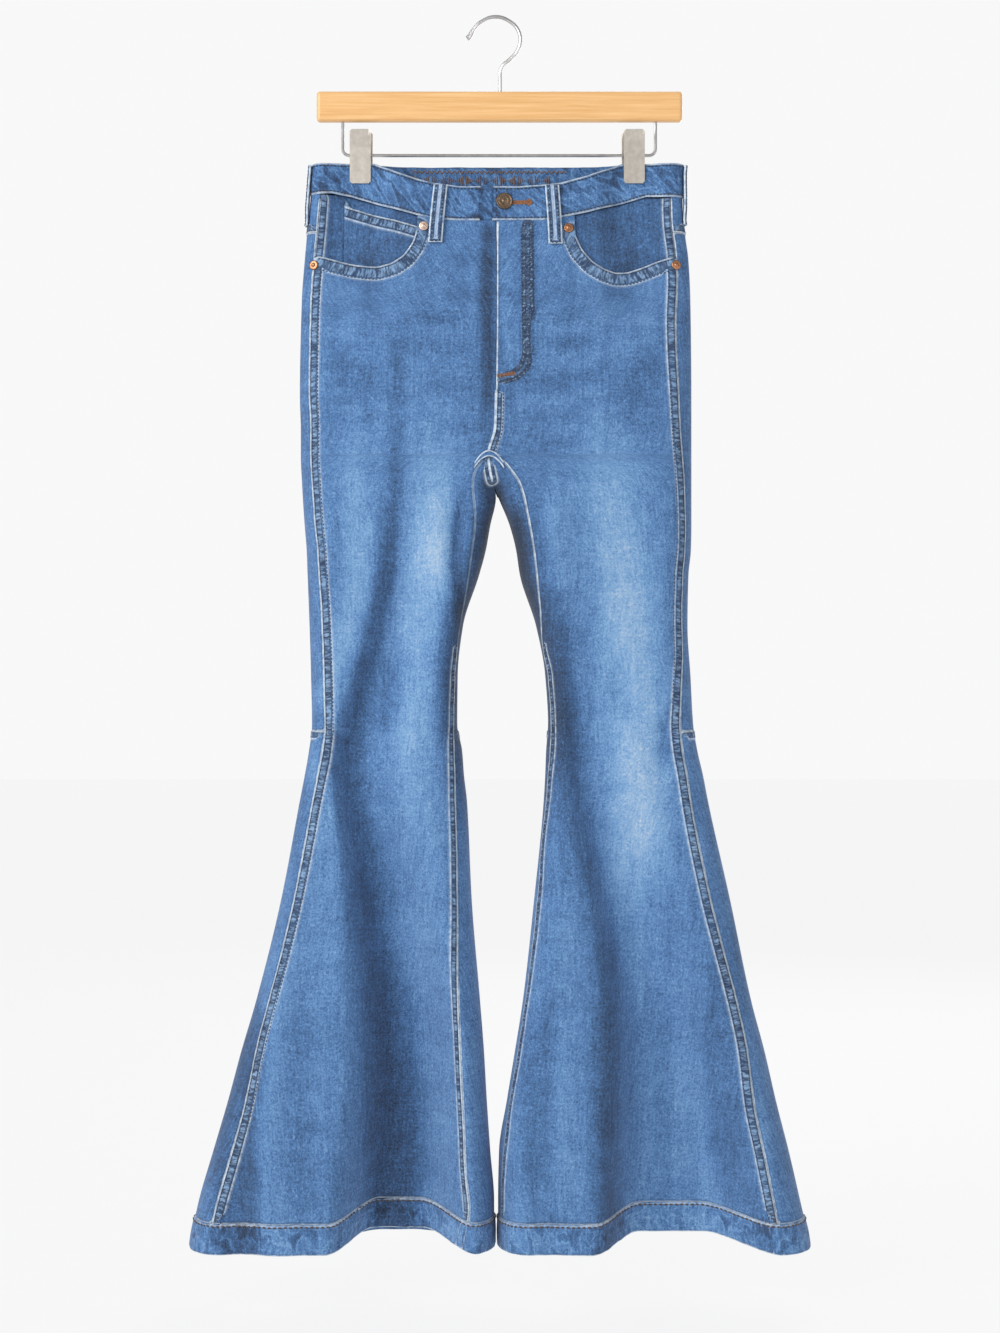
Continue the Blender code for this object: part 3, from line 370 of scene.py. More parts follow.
def half_depth(leg, x, z, rear, inset):
    out_r = smooth(OUTLINE, "z", "out_r", z)
    out_l = smooth(OUTLINE, "z", "out_l", z)
    full = np.where(rear, smooth(DEPTH, "z", "rear", z), smooth(DEPTH, "z", "front", z))
    share = np.clip((x - out_r) / (out_l - out_r), 0, 1)
    side = smooth(DEPTH, "z", "side", z)
    full = full * (side + (1 - side) * 4 * share * (1 - share))
    fade = smooth(PINCH_FADE, "z", "share", z)
    for x_clip, reach, left in PINCHES[1:]:
        press = fade * np.exp(-((x - x_clip) / reach) ** 4)
        full = full * (1 - press) + left * press
    right = x < 0 if leg == "torso" else np.full(np.shape(x), leg == "r")
    for wearer, mask in (("r", right), ("l", ~right)):
        inward = np.where(rear, flute(FLUTES[wearer, "rear"], x, z) - flute(RIDGES[wearer], x, z),
                          flute(FLUTES[wearer, "front"], x, z))
        full = np.where(mask, full - inward, full)
    full = full - creases(x, z, rear, right)
    d_out = np.where(right, x - out_r, out_l - x) - inset
    inner = np.where(right, smooth(OUTLINE, "z", "in_r", z) - x, x - smooth(OUTLINE, "z", "in_l", z))
    d_in = np.where(z > GAP_Z, np.hypot(x + 3.0, z - GAP_Z), inner) - inset
    shape = rounded(d_out / smooth(DEPTH, "z", "r_out", z)) * rounded(d_in / smooth(DEPTH, "z", "r_in", z))
    return (full - inset) * shape


def cloth(leg, angle, z, inset):
    """Points of the garment form: angle 0 at the outer edge, pi at the inner, negative on the front."""
    near, far = edges(leg, z, inset)
    x = near + (far - near) * (1 - np.cos(angle)) / 2
    rear = np.sin(angle) >= 0
    depth = half_depth(leg, x, z, rear, inset)
    lift = 0.0 * x
    if leg != "torso":
        inward = np.where(rear, flute(FLUTES[leg, "rear"], x, z), flute(FLUTES[leg, "front"], x, z))
        lift = 0.22 * inward * ease((-1060 - z) / 180)
    return np.stack([x, np.where(rear, depth, -depth), z + lift], axis=-1)


def angle_at(leg, x, z):
    near, far = edges(leg, z, 0.0)
    return -np.arccos(np.clip(1 - 2 * (x - near) / (far - near), -1, 1))


def side_angle(leg, z):
    near, far = edges(leg, z, 0.0)
    return -np.arccos(1 - 2 * smooth(SIDE_SEAM, "z", leg, z) / np.abs(far - near))


def inner_angle(leg, z):
    below = angle_at(leg, smooth(INSEAM, "z", leg, z), z)
    return np.where(z > CROSS_Z, -math.pi, below)


def world(points):
    out = np.array(points, dtype=float)
    out[..., 0] -= HOOK_X
    return out * MM


# ------------------------------------------------------------------ materials

class Tree:
    """Short words for building a material's nodes."""

    def __init__(self, name, rough, metal=0.0, sheen=0.0, coat=0.0):
        self.mat = bpy.data.materials.new(name)
        self.mat.use_nodes = True
        self.nodes = self.mat.node_tree.nodes
        self.links = self.mat.node_tree.links
        self.shader = self.nodes["Principled BSDF"]
        self.shader.inputs["Roughness"].default_value = rough
        self.shader.inputs["Metallic"].default_value = metal
        self.shader.inputs["Sheen Weight"].default_value = sheen
        self.shader.inputs["Sheen Roughness"].default_value = 0.5
        self.shader.inputs["Coat Weight"].default_value = coat

    def put(self, socket, value):
        if isinstance(value, bpy.types.NodeSocket):
            self.links.new(value, socket)
        elif hasattr(value, "__len__") and len(value) == 3 and socket.type == "RGBA":
            socket.default_value = (*value, 1.0)
        else:
            socket.default_value = value

    def math(self, op, a, b=0.0, c=0.0, clamp=False):
        node = self.nodes.new("ShaderNodeMath")
        node.operation = op
        node.use_clamp = clamp
        for socket, value in zip(node.inputs, (a, b, c)):
            self.put(socket, value)
        return node.outputs[0]

    def mix(self, fac, a, b):
        node = self.nodes.new("ShaderNodeMix")
        node.data_type = "RGBA"
        self.put(node.inputs[0], fac)
        self.put(node.inputs[6], a)
        self.put(node.inputs[7], b)
        return node.outputs[2]

    def ramp(self, x, *stops):
        """Piecewise straight value between (x, value) stops."""
        return self.colors(x, [(place, (value, value, value)) for place, value in stops])

    def colors(self, x, stops):
        """Piecewise straight colour between (x, colour) stops."""
        low, high = stops[0][0], stops[-1][0]
        node = self.nodes.new("ShaderNodeValToRGB")
        self.put(node.inputs[0], self.math("DIVIDE", self.math("SUBTRACT", x, low), high - low, clamp=True))
        points = node.color_ramp.elements
        while len(points) < len(stops):
            points.new(0.5)
        for point, (place, color) in zip(points, stops):
            point.position = (place - low) / (high - low)
            point.color = (*color, 1.0)
        return node.outputs[0]

    def add(self, a, b, clamp=False):
        return self.math("ADD", a, b, clamp=clamp)

    def sub(self, a, b):
        return self.math("SUBTRACT", a, b)

    def mul(self, a, b):
        return self.math("MULTIPLY", a, b)

    def parts(self, vector):
        node = self.nodes.new("ShaderNodeSeparateXYZ")
        self.put(node.inputs[0], vector)
        return node.outputs[0], node.outputs[1]

    def attribute(self, name, vector=False):
        node = self.nodes.new("ShaderNodeAttribute")
        node.attribute_name = name
        return node.outputs[1 if vector else 2]

    def scaled(self, vector, *by):
        node = self.nodes.new("ShaderNodeVectorMath")
        node.operation = "MULTIPLY"
        self.put(node.inputs[0], vector)
        node.inputs[1].default_value = by
        return node.outputs[0]

    def joined(self, x, y, z=0.0):
        node = self.nodes.new("ShaderNodeCombineXYZ")
        for socket, value in zip(node.inputs, (x, y, z)):
            self.put(socket, value)
        return node.outputs[0]

    def noise(self, vector, scale=1.0, detail=2.0, rough=0.5, warp=0.0):
        node = self.nodes.new("ShaderNodeTexNoise")
        self.put(node.inputs["Vector"], vector)
        node.inputs["Scale"].default_value = scale
        node.inputs["Detail"].default_value = detail
        node.inputs["Roughness"].default_value = rough
        node.inputs["Distortion"].default_value = warp
        return node.outputs[0]

    def place(self):
        return self.scaled(self.nodes.new("ShaderNodeTexCoord").outputs["Object"], 1000, 1000, 1000)

    def bump(self, height, distance, strength=1.0):
        node = self.nodes.new("ShaderNodeBump")
        node.inputs["Strength"].default_value = strength
        node.inputs["Distance"].default_value = distance
        self.put(node.inputs["Height"], height)
        self.links.new(node.outputs[0], self.shader.inputs["Normal"])

    def done(self, color, rough=None):
        self.put(self.shader.inputs["Base Color"], color)
        if rough is not None:
            self.put(self.shader.inputs["Roughness"], rough)
        return self.mat


# colours of the denim from dark to pale; the darkest stops serve the painted shade in flute valleys and
# creases
WASH_AND_SHADE_TONES = (
    (-1.2, (0.011, 0.024, 0.052)), (-0.9, (0.018, 0.040, 0.085)), (-0.45, (0.030, 0.072, 0.165)),
    (0.0, (0.049, 0.130, 0.290)), (0.35, (0.080, 0.190, 0.405)), (1.0, (0.165, 0.325, 0.550)),
    (2.0, (0.430, 0.530, 0.640)),
)
# deep indigo: the dark of the puckered bands and flecks, and the painted shade of the seam grooves
DEEP = (0.016, 0.034, 0.080)
RUNG = (0.240, 0.385, 0.590)
WORN = (0.640, 0.720, 0.790)


def denim(name, marble=0.0, shade=0.0, slant=0.7):
    """Washed twill: fine grain, slubs, pale thighs, worn seam edges, puckered bands; painted shade and light.
    """
    t = Tree(name, 0.9, sheen=0.15)
    spot = t.attribute("cloth", True)
    # the fade attribute brings the wash together with its painted shade and painted light
    fade = t.attribute("fade")
    seam = t.attribute("seam")
    run = t.attribute("run")
    band = t.attribute("band")
    worn = t.attribute("edge")
    layers = (
        (t.noise(t.scaled(spot, 0.46, 0.42, 0.7), 1.0, 3.0, 0.75, 0.9), 3.0),
        (t.noise(t.scaled(spot, 1.5, 0.9, 1.0), 1.0, 1.0, 0.5), 0.7),
        (t.noise(t.scaled(spot, 0.42, 0.030, 0.3), 1.0, 2.0, 0.6), 0.85),
        (t.noise(t.scaled(spot, 0.035, 0.40, 0.3), 1.0, 2.0, 0.6), 0.45),
        (t.noise(t.scaled(spot, 0.11, 0.075, 0.2), 1.0, 3.0, 0.6, 0.5), 0.75),
        (t.noise(t.scaled(spot, 0.018, 0.012, 0.02), 1.0, 3.0, 0.6), 0.5),
    )
    level = t.sub(fade, shade)
    for layer, amount in layers:
        level = t.add(level, t.mul(t.sub(layer, 0.5), amount))
    grain, speck = layers[0][0], layers[1][0]
    wander = t.noise(t.joined(t.mul(run, 0.05), 3.7), 1.0, 1.0)
    rung = t.noise(t.joined(t.add(t.mul(run, 0.47), t.mul(seam, 0.05)),
                            t.mul(seam, 0.09), wander), 1.0, 2.5, 0.6, 0.3)
    rung = t.ramp(rung, (0.42, 0.0), (0.62, 1.0))
    share = t.math("DIVIDE", seam, t.math("MAXIMUM", band, 0.5))
    inside = t.mul(t.ramp(share, (0.90, 1.0), (1.02, 0.0)), t.ramp(band, (2.6, 0.0), (3.2, 1.0)))
    inside = t.mul(inside, t.ramp(seam, (0.6, 0.0), (1.6, 1.0)))
    height = t.add(t.mul(grain, 0.7), t.mul(speck, 0.3))
    height = t.add(height, t.mul(t.mul(rung, inside), 1.3))
    if marble:
        u, v = t.parts(spot)
        lean = t.add(u, t.mul(v, slant))
        rope = t.noise(t.joined(t.mul(lean, 0.085), t.mul(v, 0.05), 2.0),
                       1.0, 1.5, 0.5, 0.6)
        vein = t.ramp(t.math("ABSOLUTE", t.sub(rope, 0.5)), (0.0, 1.0), (0.02, 0.5), (0.08, 0.0))
        dip = t.ramp(rope, (0.28, 1.0), (0.48, 0.0))
        level = t.add(level, t.mul(vein, 0.75 * marble))
        level = t.sub(level, t.mul(dip, 0.75 * marble))
        height = t.add(height, t.mul(rope, 3.0 * marble))
    color = t.colors(level, WASH_AND_SHADE_TONES)
    ladder = t.mix(rung, DEEP, RUNG)
    color = t.mix(t.mul(inside, t.add(0.45, t.mul(wander, 0.7))), color, ladder)
    away = t.sub(seam, band)
    patchy = t.ramp(t.noise(t.joined(t.mul(run, 0.16), 9.1), 1.0, 3.0, 0.65), (0.32, 0.25), (0.60, 1.0))
    halo = t.mul(t.ramp(away, (0.2, 0.0), (0.7, 0.9), (1.5, 0.8), (2.2, 0.25), (4.0, 0.0)), patchy)
    halo = t.mul(halo, t.ramp(worn, (0.1, 0.0), (0.8, 1.0)))
    color = t.mix(t.mul(halo, t.ramp(band, (2.0, 0.0), (3.0, 0.8))), color, WORN)
    plain = t.mul(inside, t.ramp(worn, (0.0, 0.75), (0.2, 0.0)))
    fleck = t.ramp(t.noise(t.scaled(spot, 0.33, 0.30, 1.0), 1.0, 2.0, 0.7), (0.56, 0.0), (0.62, 1.0))
    color = t.mix(plain, color, t.mix(fleck, DEEP, RUNG))
    # dark lines beside each seam: painted shade of the groove along the stitching
    lines = t.add(t.ramp(seam, (1.5, 0.0), (2.2, 1.0), (3.0, 0.0)),
                   t.ramp(away, (-1.6, 0.0), (-0.8, 1.0), (0.0, 0.0)), clamp=True)
    lines = t.mul(lines, t.ramp(band, (0.6, 0.0), (1.4, 1.0)))
    color = t.mix(t.mul(lines, 0.75), color, DEEP)
    rubbed = t.ramp(t.noise(t.joined(t.mul(run, 0.14), 5.2), 1.0, 3.0, 0.6), (0.30, 0.30), (0.56, 1.0))
    rim = t.mul(t.ramp(seam, (0.8, 1.0), (1.7, 0.0)), t.ramp(band, (0.4, 0.0), (0.8, 1.0)))
    color = t.mix(t.mul(t.mul(rim, rubbed), worn), color, WORN)
    t.bump(height, 0.0006, 1.0)
    return t.done(color)


def thread(name, color):
    t = Tree(name, 0.75, sheen=0.2)
    spot = t.place()
    twist = t.noise(spot, 1.3, 2.0)
    t.bump(twist, 0.0002)
    return t.done(t.mix(t.ramp(twist, (0.3, 0.0), (0.7, 1.0)), tuple(0.55 * c for c in color), color))


def metal(name, color, dark, rough, scale=0.6, worn=0.5):
    """Metal with faint brushing and patches of tarnish."""
    t = Tree(name, rough, metal=1.0)
    spot = t.place()
    patch = t.noise(spot, scale * 0.25, 4.0, 0.6)
    brush = t.noise(t.scaled(spot, 6.0, 6.0, 0.5), 1.0, 2.0, 0.6)
    color = t.mix(t.mul(t.ramp(patch, (0.35, 0.0), (0.65, 1.0)), worn), color, dark)
    t.bump(brush, 0.00006, 0.5)
    return t.done(color, t.add(rough - 0.06, t.mul(brush, 0.14)))


def wood():
    """Pale beech with long grain, pores and a thin satin lacquer."""
    t = Tree("beech", 0.42, coat=0.25)
    spot = t.place()
    bend = t.noise(t.scaled(spot, 0.006, 0.05, 0.05), 1.0, 2.0)
    rings = t.noise(t.joined(t.mul(bend, 3.0), t.mul(bend, 9.0), 0.0), 1.0, 2.0)
    grain = t.noise(t.scaled(spot, 0.014, 0.9, 0.55), 1.0, 4.0, 0.6, 0.4)
    pores = t.noise(t.scaled(spot, 0.09, 3.5, 2.2), 1.0, 2.0, 0.7)
    color = t.mix(t.ramp(grain, (0.3, 0.0), (0.7, 1.0)), (0.690, 0.370, 0.130), (0.860, 0.540, 0.250))
    color = t.mix(t.ramp(rings, (0.4, 0.0), (0.6, 0.35)), color, (0.780, 0.430, 0.160))
    color = t.mix(t.ramp(pores, (0.62, 0.0), (0.78, 0.5)), color, (0.480, 0.240, 0.080))
    t.bump(t.sub(grain, t.mul(pores, 0.5)), 0.0001, 0.5)
    return t.done(color)


# ------------------------------------------------------------------ seams, wash and painted shade

def seam_fields(points, lines):
    """Distance to the nearest seam, run along it, width of its puckered band and how worn its edge is."""
    seam, run = np.full(len(points), 60.0), np.zeros(len(points))
    band, edge = np.zeros(len(points)), np.zeros(len(points))
    if not lines:
        return seam, run, band, edge
    spots = np.concatenate([line[0] for line in lines])
    runs = np.concatenate([line[1] for line in lines])
    bands = np.concatenate([np.full(len(line[0]), float(line[2])) for line in lines])
    worn = np.concatenate([np.full(len(line[0]), float(line[3])) for line in lines])
    tree = KDTree(len(spots))
    for index, spot in enumerate(spots):
        tree.insert(spot, index)
    tree.balance()
    for k, point in enumerate(points):
        _, hit, seam[k] = tree.find(point)
        run[k], band[k], edge[k] = runs[hit], bands[hit], worn[hit]
    return seam, run, band, edge


def smooth_noise(a, b, seed):
    """Seeded value noise on two coordinates, between -1 and 1."""
    grid = np.random.default_rng(seed).uniform(-1, 1, (64, 64))
    ia, ib = np.floor(a).astype(int), np.floor(b).astype(int)
    ta, tb = ease(a - ia), ease(b - ib)
    g = lambda p, q: grid[p % 64, q % 64]
    return ((g(ia, ib) * (1 - ta) + g(ia + 1, ib) * ta) * (1 - tb)
            + (g(ia, ib + 1) * (1 - ta) + g(ia + 1, ib + 1) * ta) * tb)


def wash_and_shade_at(points, leg_right):
    """How pale the wash is, with painted shade and painted light: darker edges, shade by the inseams and in
    creases.
    """
    x, y, z = points[:, 0], points[:, 1], points[:, 2]
    right, left = ([half_depth(leg, x, z, np.full(len(x), side), 0.0) for side in (True, False)]
                   for leg in ("r", "l"))
    rear = y > np.where(leg_right, right[0] - right[1], left[0] - left[1]) / 2
    fade = 0.30 + 0.0 * x
    for leg, face, line in WASH_AND_SHADE_LINES:
        here = (leg_right == (leg == "r")) & (rear == (face == "rear"))
        middle, width, more = (smooth(line, "z", name, z) for name in ("x", "w", "more"))
        fade = fade + np.where(here, more * np.exp(-np.abs((x - middle) / width) ** 2.4), 0.0)
    out = np.where(leg_right, x - smooth(OUTLINE, "z", "out_r", z), smooth(OUTLINE, "z", "out_l", z) - x)
    inner = np.where(leg_right, smooth(OUTLINE, "z", "in_r", z) - x, x - smooth(OUTLINE, "z", "in_l", z))
    # darker along the outer edges: painted shade where the leg turns away, partly the darker sides of the
    # wash
    fade = fade - 0.15 * np.exp(-(out / 14) ** 2)
    # painted shade along the inner edge of each leg below the crotch
    fade = fade - 1.0 * np.exp(-(inner / 16) ** 2) * ease((-z - 455) / 30) * (1 - ease((-z - 700) / 200))
    fade = fade - 0.30 * np.exp(-((x + 6) / 22) ** 2) * (1 - ease((-z - 440) / 40)) * ~rear
    # painted shade in the creases, painted light on the raised ones
    dip = creases(x, z, rear, leg_right)
    fade = fade - 0.17 * np.clip(dip, -2.0, 2.6)
    fade = fade + 0.10 * smooth_noise(x / 9, z / 140, 3) + 0.08 * smooth_noise(x / 60, z / 18, 5)
    fade = fade + 0.10 * smooth_noise(x / 34, z / 9, 8) * ease((z + 470) / 60) * ~rear
    return fade


# ------------------------------------------------------------------ the cloth

WORDS = {"r": "right", "l": "left"}
BACK_LEFT_OF_SEAM = 0.0007


class Piece:
    """Grids joined into one skin, with the fields its material reads, then puckered along its seams."""

    def __init__(self, name, leg, lines, material, node=None, thick=1.3, pucker=0.5, lift=None, closed=None,
                 shift=0.0):
        self.name, self.leg, self.lines, self.material = name, leg, lines, material
        self.node = node or name
        self.thick, self.pucker, self.lift, self.closed, self.shift = thick, pucker, lift, closed, shift
        self.verts, self.faces, self.coords, self.base = [], [], [], 0
        self.width = self.length = 0.0

    def grid(self, points, wrap_rows=False, wrap_cols=False):
        rows, cols, _ = points.shape
        across = np.linalg.norm(np.diff(points, axis=1), axis=2)
        down = np.linalg.norm(np.diff(points, axis=0), axis=2)
        u = np.concatenate([np.zeros((rows, 1)), np.cumsum(across, axis=1)], axis=1)
        u = u - u[:, cols // 2][:, None] + self.width
        v = np.concatenate([np.zeros((1, cols)), np.cumsum(down, axis=0)], axis=0)
        v = np.repeat(v[:, cols // 2][:, None], cols, axis=1)
        self.width += across.sum(axis=1).max()
        self.length = max(self.length, down.sum(axis=0).max())
        index = self.base + np.arange(rows * cols).reshape(rows, cols)
        if wrap_rows:
            index = np.concatenate([index, index[:1]], axis=0)
        if wrap_cols:
            index = np.concatenate([index, index[:, :1]], axis=1)
        quads = np.stack([index[:-1, :-1], index[:-1, 1:], index[1:, 1:], index[1:, :-1]], axis=-1)
        self.verts.append(points.reshape(-1, 3))
        self.coords.append(np.stack([u, v, 0 * u], axis=-1).reshape(-1, 3))
        self.faces.append(quads.reshape(-1, 4))
        self.base += rows * cols
        return index

    def build(self, caps=()):
        verts, coords = np.concatenate(self.verts), np.concatenate(self.coords)
        faces = np.concatenate(self.faces)
        if len(self.verts) > 1:
            keys = np.round(verts / 0.05).astype(np.int64)
            _, first, inverse = np.unique(keys, axis=0, return_index=True, return_inverse=True)
            inverse = inverse.reshape(-1)
            verts, coords, faces = verts[first], coords[first], inverse[faces]
        faces = faces[[len(set(f)) == 4 for f in faces.tolist()]]
        right = verts[:, 0] < 0 if self.leg is None else np.full(len(verts), self.leg == "r")
        seam, run, band, edge = seam_fields(verts, self.lines)
        # wash tone with painted shade and painted light, stored below as the fade attribute
        fade = wash_and_shade_at(verts, right)
        p = [verts[faces[:, k]] for k in range(4)]
        normal = np.cross(p[2] - p[0], p[3] - p[1])
        area = 0.5 * np.linalg.norm(normal, axis=1).sum()
        if self.closed:
            sign = np.einsum("ij,ij->", normal, (p[0] + p[1] + p[2] + p[3]) / 4 - verts.mean(axis=0))
            area = area / 2
            sign = -sign if self.closed == "inverse" else sign
        else:
            sign = (normal[:, 1] * np.sign(p[0][:, 1] + p[2][:, 1])).sum()
        if sign < 0:
            faces = faces[:, ::-1]
            normal = -normal
        self.normals = np.zeros_like(verts)
        for k in range(4):
            np.add.at(self.normals, faces[:, k], normal)
        self.normals /= np.maximum(np.linalg.norm(self.normals, axis=1), 1e-9)[:, None]
        inside = ease((band - seam + 0.8) / 1.6) * (band > 2.5)
        rise = 0.75 * inside
        near = np.exp(-(seam / (band + 4)) ** 2)
        wave = 0.55 * smooth_noise(run / 6.5, run * 0 + 0.5, 11)
        wave = wave + 0.8 * smooth_noise(run / 16.0, seam / 14 + 3.5, 12)
        move = rise + self.pucker * near * wave + self.shift
        if self.lift is not None:
            move = move + self.lift(verts)
        self.points = verts + self.normals * move[:, None]
        mesh = bpy.data.meshes.new("cloth_" + self.name)
        polygons = faces.tolist() + [list(cap) for cap in caps]
        mesh.from_pydata(world(self.points).tolist(), [], polygons)
        for key, values in (("seam", seam), ("run", run), ("band", band), ("edge", edge), ("fade", fade)):
            mesh.attributes.new(key, "FLOAT", "POINT").data.foreach_set("value", values)
        mesh.attributes.new("cloth", "FLOAT_VECTOR", "POINT").data.foreach_set("vector", coords.ravel())
        mesh.polygons.foreach_set("use_smooth", np.ones(len(mesh.polygons), dtype=bool))
        mesh.materials.append(self.material)
        self.obj = bpy.data.objects.new("cloth_" + self.name, mesh)
        bpy.context.scene.collection.objects.link(self.obj)
        self.obj.cycles.shadow_terminator_geometry_offset = 0.5
        self.obj.cycles.shadow_terminator_offset = 0.15
        if not self.closed:
            skin = self.obj.modifiers.new("cloth", "SOLIDIFY")
            skin.thickness = self.thick * MM
            skin.offset = -1.0
        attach(self.obj, "root")
        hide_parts(self.node)
        self.tree = KDTree(len(self.points))
        for k, point in enumerate(self.points):
            self.tree.insert(point, k)
        self.tree.balance()
        return self

    def on_skin(self, spot, lift):
        """The place on the finished skin over a point of the form, and the direction out of the cloth."""
        hits = self.tree.find_n(spot, 4)
        normal = np.zeros(3)
        height = total = 0.0
        for co, index, distance in hits:
            weight = 1 / (distance + 0.3)
            n = self.normals[index]
            normal += weight * n
            height += weight * float(np.dot(np.array(co) - spot, n))
            total += weight
        normal /= max(np.linalg.norm(normal), 1e-9)
        return spot + normal * (height / total + lift), normal


def new_object(name, verts, faces, material):
    """A smooth mesh object from points in metres."""
    mesh = bpy.data.meshes.new(name)
    mesh.from_pydata(verts, [], faces)
    mesh.polygons.foreach_set("use_smooth", np.ones(len(mesh.polygons), dtype=bool))
    mesh.materials.append(material)
    obj = bpy.data.objects.new(name, mesh)
    bpy.context.scene.collection.objects.link(obj)
    return obj


def ride_as_trim(obj):
    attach(obj, "root")
    return obj


def thread_mesh(name, runs, material, length=2.9, pitch=3.7, width=0.42, lift=0.10):
    """Rows of small rounded stitches lying on a piece; runs are (piece, points of the form, wander)."""
    verts, faces = [], []
    base = 0
    rng = np.random.default_rng(len(name) * 7 + len(runs))
    for piece, points, wander in runs:
        along = np.concatenate([[0.0], np.cumsum(np.linalg.norm(np.diff(points, axis=0), axis=1))])
        starts = np.arange(0.8, along[-1] - length, pitch)
        for start in starts:
            ends = start + np.array([0.0, length]) * (1 + rng.uniform(-0.12, 0.04))
            spots = [np.array([np.interp(e, along, points[:, k]) for k in range(3)]) for e in ends]
            (a, na), (b, nb) = [piece.on_skin(s, lift) for s in spots]
            up = na + nb
            up /= np.linalg.norm(up)
            way = (b - a) / max(np.linalg.norm(b - a), 1e-9)
            side = np.cross(up, way)
            jog = side * rng.uniform(-wander, wander)
            a, b = a + jog, b + jog * 0.3
            tips = [a - up * 0.3, b - up * 0.3]
            ring = []
            for share, scale in ((0.13, 0.9), (0.5, 1.12), (0.87, 0.9)):
                middle = a + (b - a) * share + up * (0.12 if share == 0.5 else 0.0)
                ring += [middle + side * width * scale, middle + up * width * scale * 0.8,
                         middle - side * width * scale, middle - up * width * scale * 0.8]
            verts += tips[:1] + ring + tips[1:]
            for k in range(4):
                j = (k + 1) % 4
                faces += [(base, base + 1 + j, base + 1 + k),
                          (base + 1 + k, base + 1 + j, base + 5 + j, base + 5 + k),
                          (base + 5 + k, base + 5 + j, base + 9 + j, base + 9 + k),
                          (base + 9 + k, base + 9 + j, base + 13)]
            base += 14
    return ride_as_trim(new_object(name, world(np.array(verts)).tolist(), faces, material))


def front_line(leg, table_x, zs, inset=0.0):
    """Points of the form's front face at the given x for each height."""
    zs = np.asarray(zs, dtype=float)
    xs = np.broadcast_to(np.asarray(table_x, dtype=float), zs.shape)
    return cloth(leg, angle_at(leg, xs, zs), zs, inset)


def side_line(leg, zs, shift=0.0):
    """Along the side seam; shift moves toward the middle of the front."""
    zs = np.asarray(zs, dtype=float)
    near, far = edges(leg, zs, 0.0)
    inward = smooth(SIDE_SEAM, "z", leg, zs) + shift
    return cloth(leg, -np.arccos(1 - 2 * inward / np.abs(far - near)), zs, 0.0)


def inseam_x(leg, zs, shift=0.0):
    way = -1.0 if leg == "r" else 1.0
    return smooth(INSEAM, "z", leg, zs) + way * shift


def edge_rows():
    zs = column(FLY_EDGE, "z")
    order = np.argsort(zs)
    return zs[order], column(FLY_EDGE, "x")[order]


def run_line(points, band, edge, start=0.0):
    steps = np.linalg.norm(np.diff(points, axis=0), axis=1)
    run = np.concatenate([[0.0], np.cumsum(steps)])
    dense = np.arange(0.0, run[-1], 1.2)
    line = np.stack([np.interp(dense, run, points[:, k]) for k in range(3)], axis=1)
    return line, dense + start, band, edge


def table_line(leg, table, shift=(0.0, 0.0), count=60):
    """A front-face line through the rows of an (x, z) table."""
    rows = np.array([row for row in table if not isinstance(row[0], str)], dtype=float)
    along = np.concatenate([[0.0], np.cumsum(np.linalg.norm(np.diff(rows, axis=0), axis=1))])
    dense = np.linspace(0, along[-1], count)
    x = np.interp(dense, along, rows[:, 0])
    z = np.interp(dense, along, rows[:, 1])
    kernel = np.array([1, 2, 3, 2, 1]) / 9.0
    x[2:-2] = np.convolve(x, kernel, "valid")
    z[2:-2] = np.convolve(z, kernel, "valid")
    return front_line(leg, x + shift[0], z + shift[1])


def offset_table(leg, table, distance):
    """An (x, z) table moved sideways by a distance, out of the pocket."""
    rows = np.array([row for row in table if not isinstance(row[0], str)], dtype=float)
    along = np.gradient(rows, axis=0)
    along /= np.linalg.norm(along, axis=1)[:, None]
    out = np.stack([along[:, 1], -along[:, 0]], axis=1) * (1.0 if leg == "r" else -1.0)
    moved = rows + out * distance
    return tuple((float(a), float(b)) for a, b in moved)


def rows_between(*pairs):
    out = []
    for start, gap, end in zip(pairs[::2], pairs[1::2], pairs[2::2]):
        out.append(np.linspace(start, end, max(1, int(round(abs(end - start) / gap))), endpoint=False))
    return np.append(np.concatenate(out), pairs[-1])


def waist_seam(x, rear=False):
    table = WAIST_REAR if rear else WAIST_FRONT
    return np.interp(x, column(table, "x"), column(table, "seam")) - 0.1


def band_top(x, on_front):
    return np.where(on_front, np.interp(x, column(WAIST_FRONT, "x"), column(WAIST_FRONT, "top")), -151.0)


def band_foot(x, on_front):
    return np.where(on_front, waist_seam(x), waist_seam(x, True))


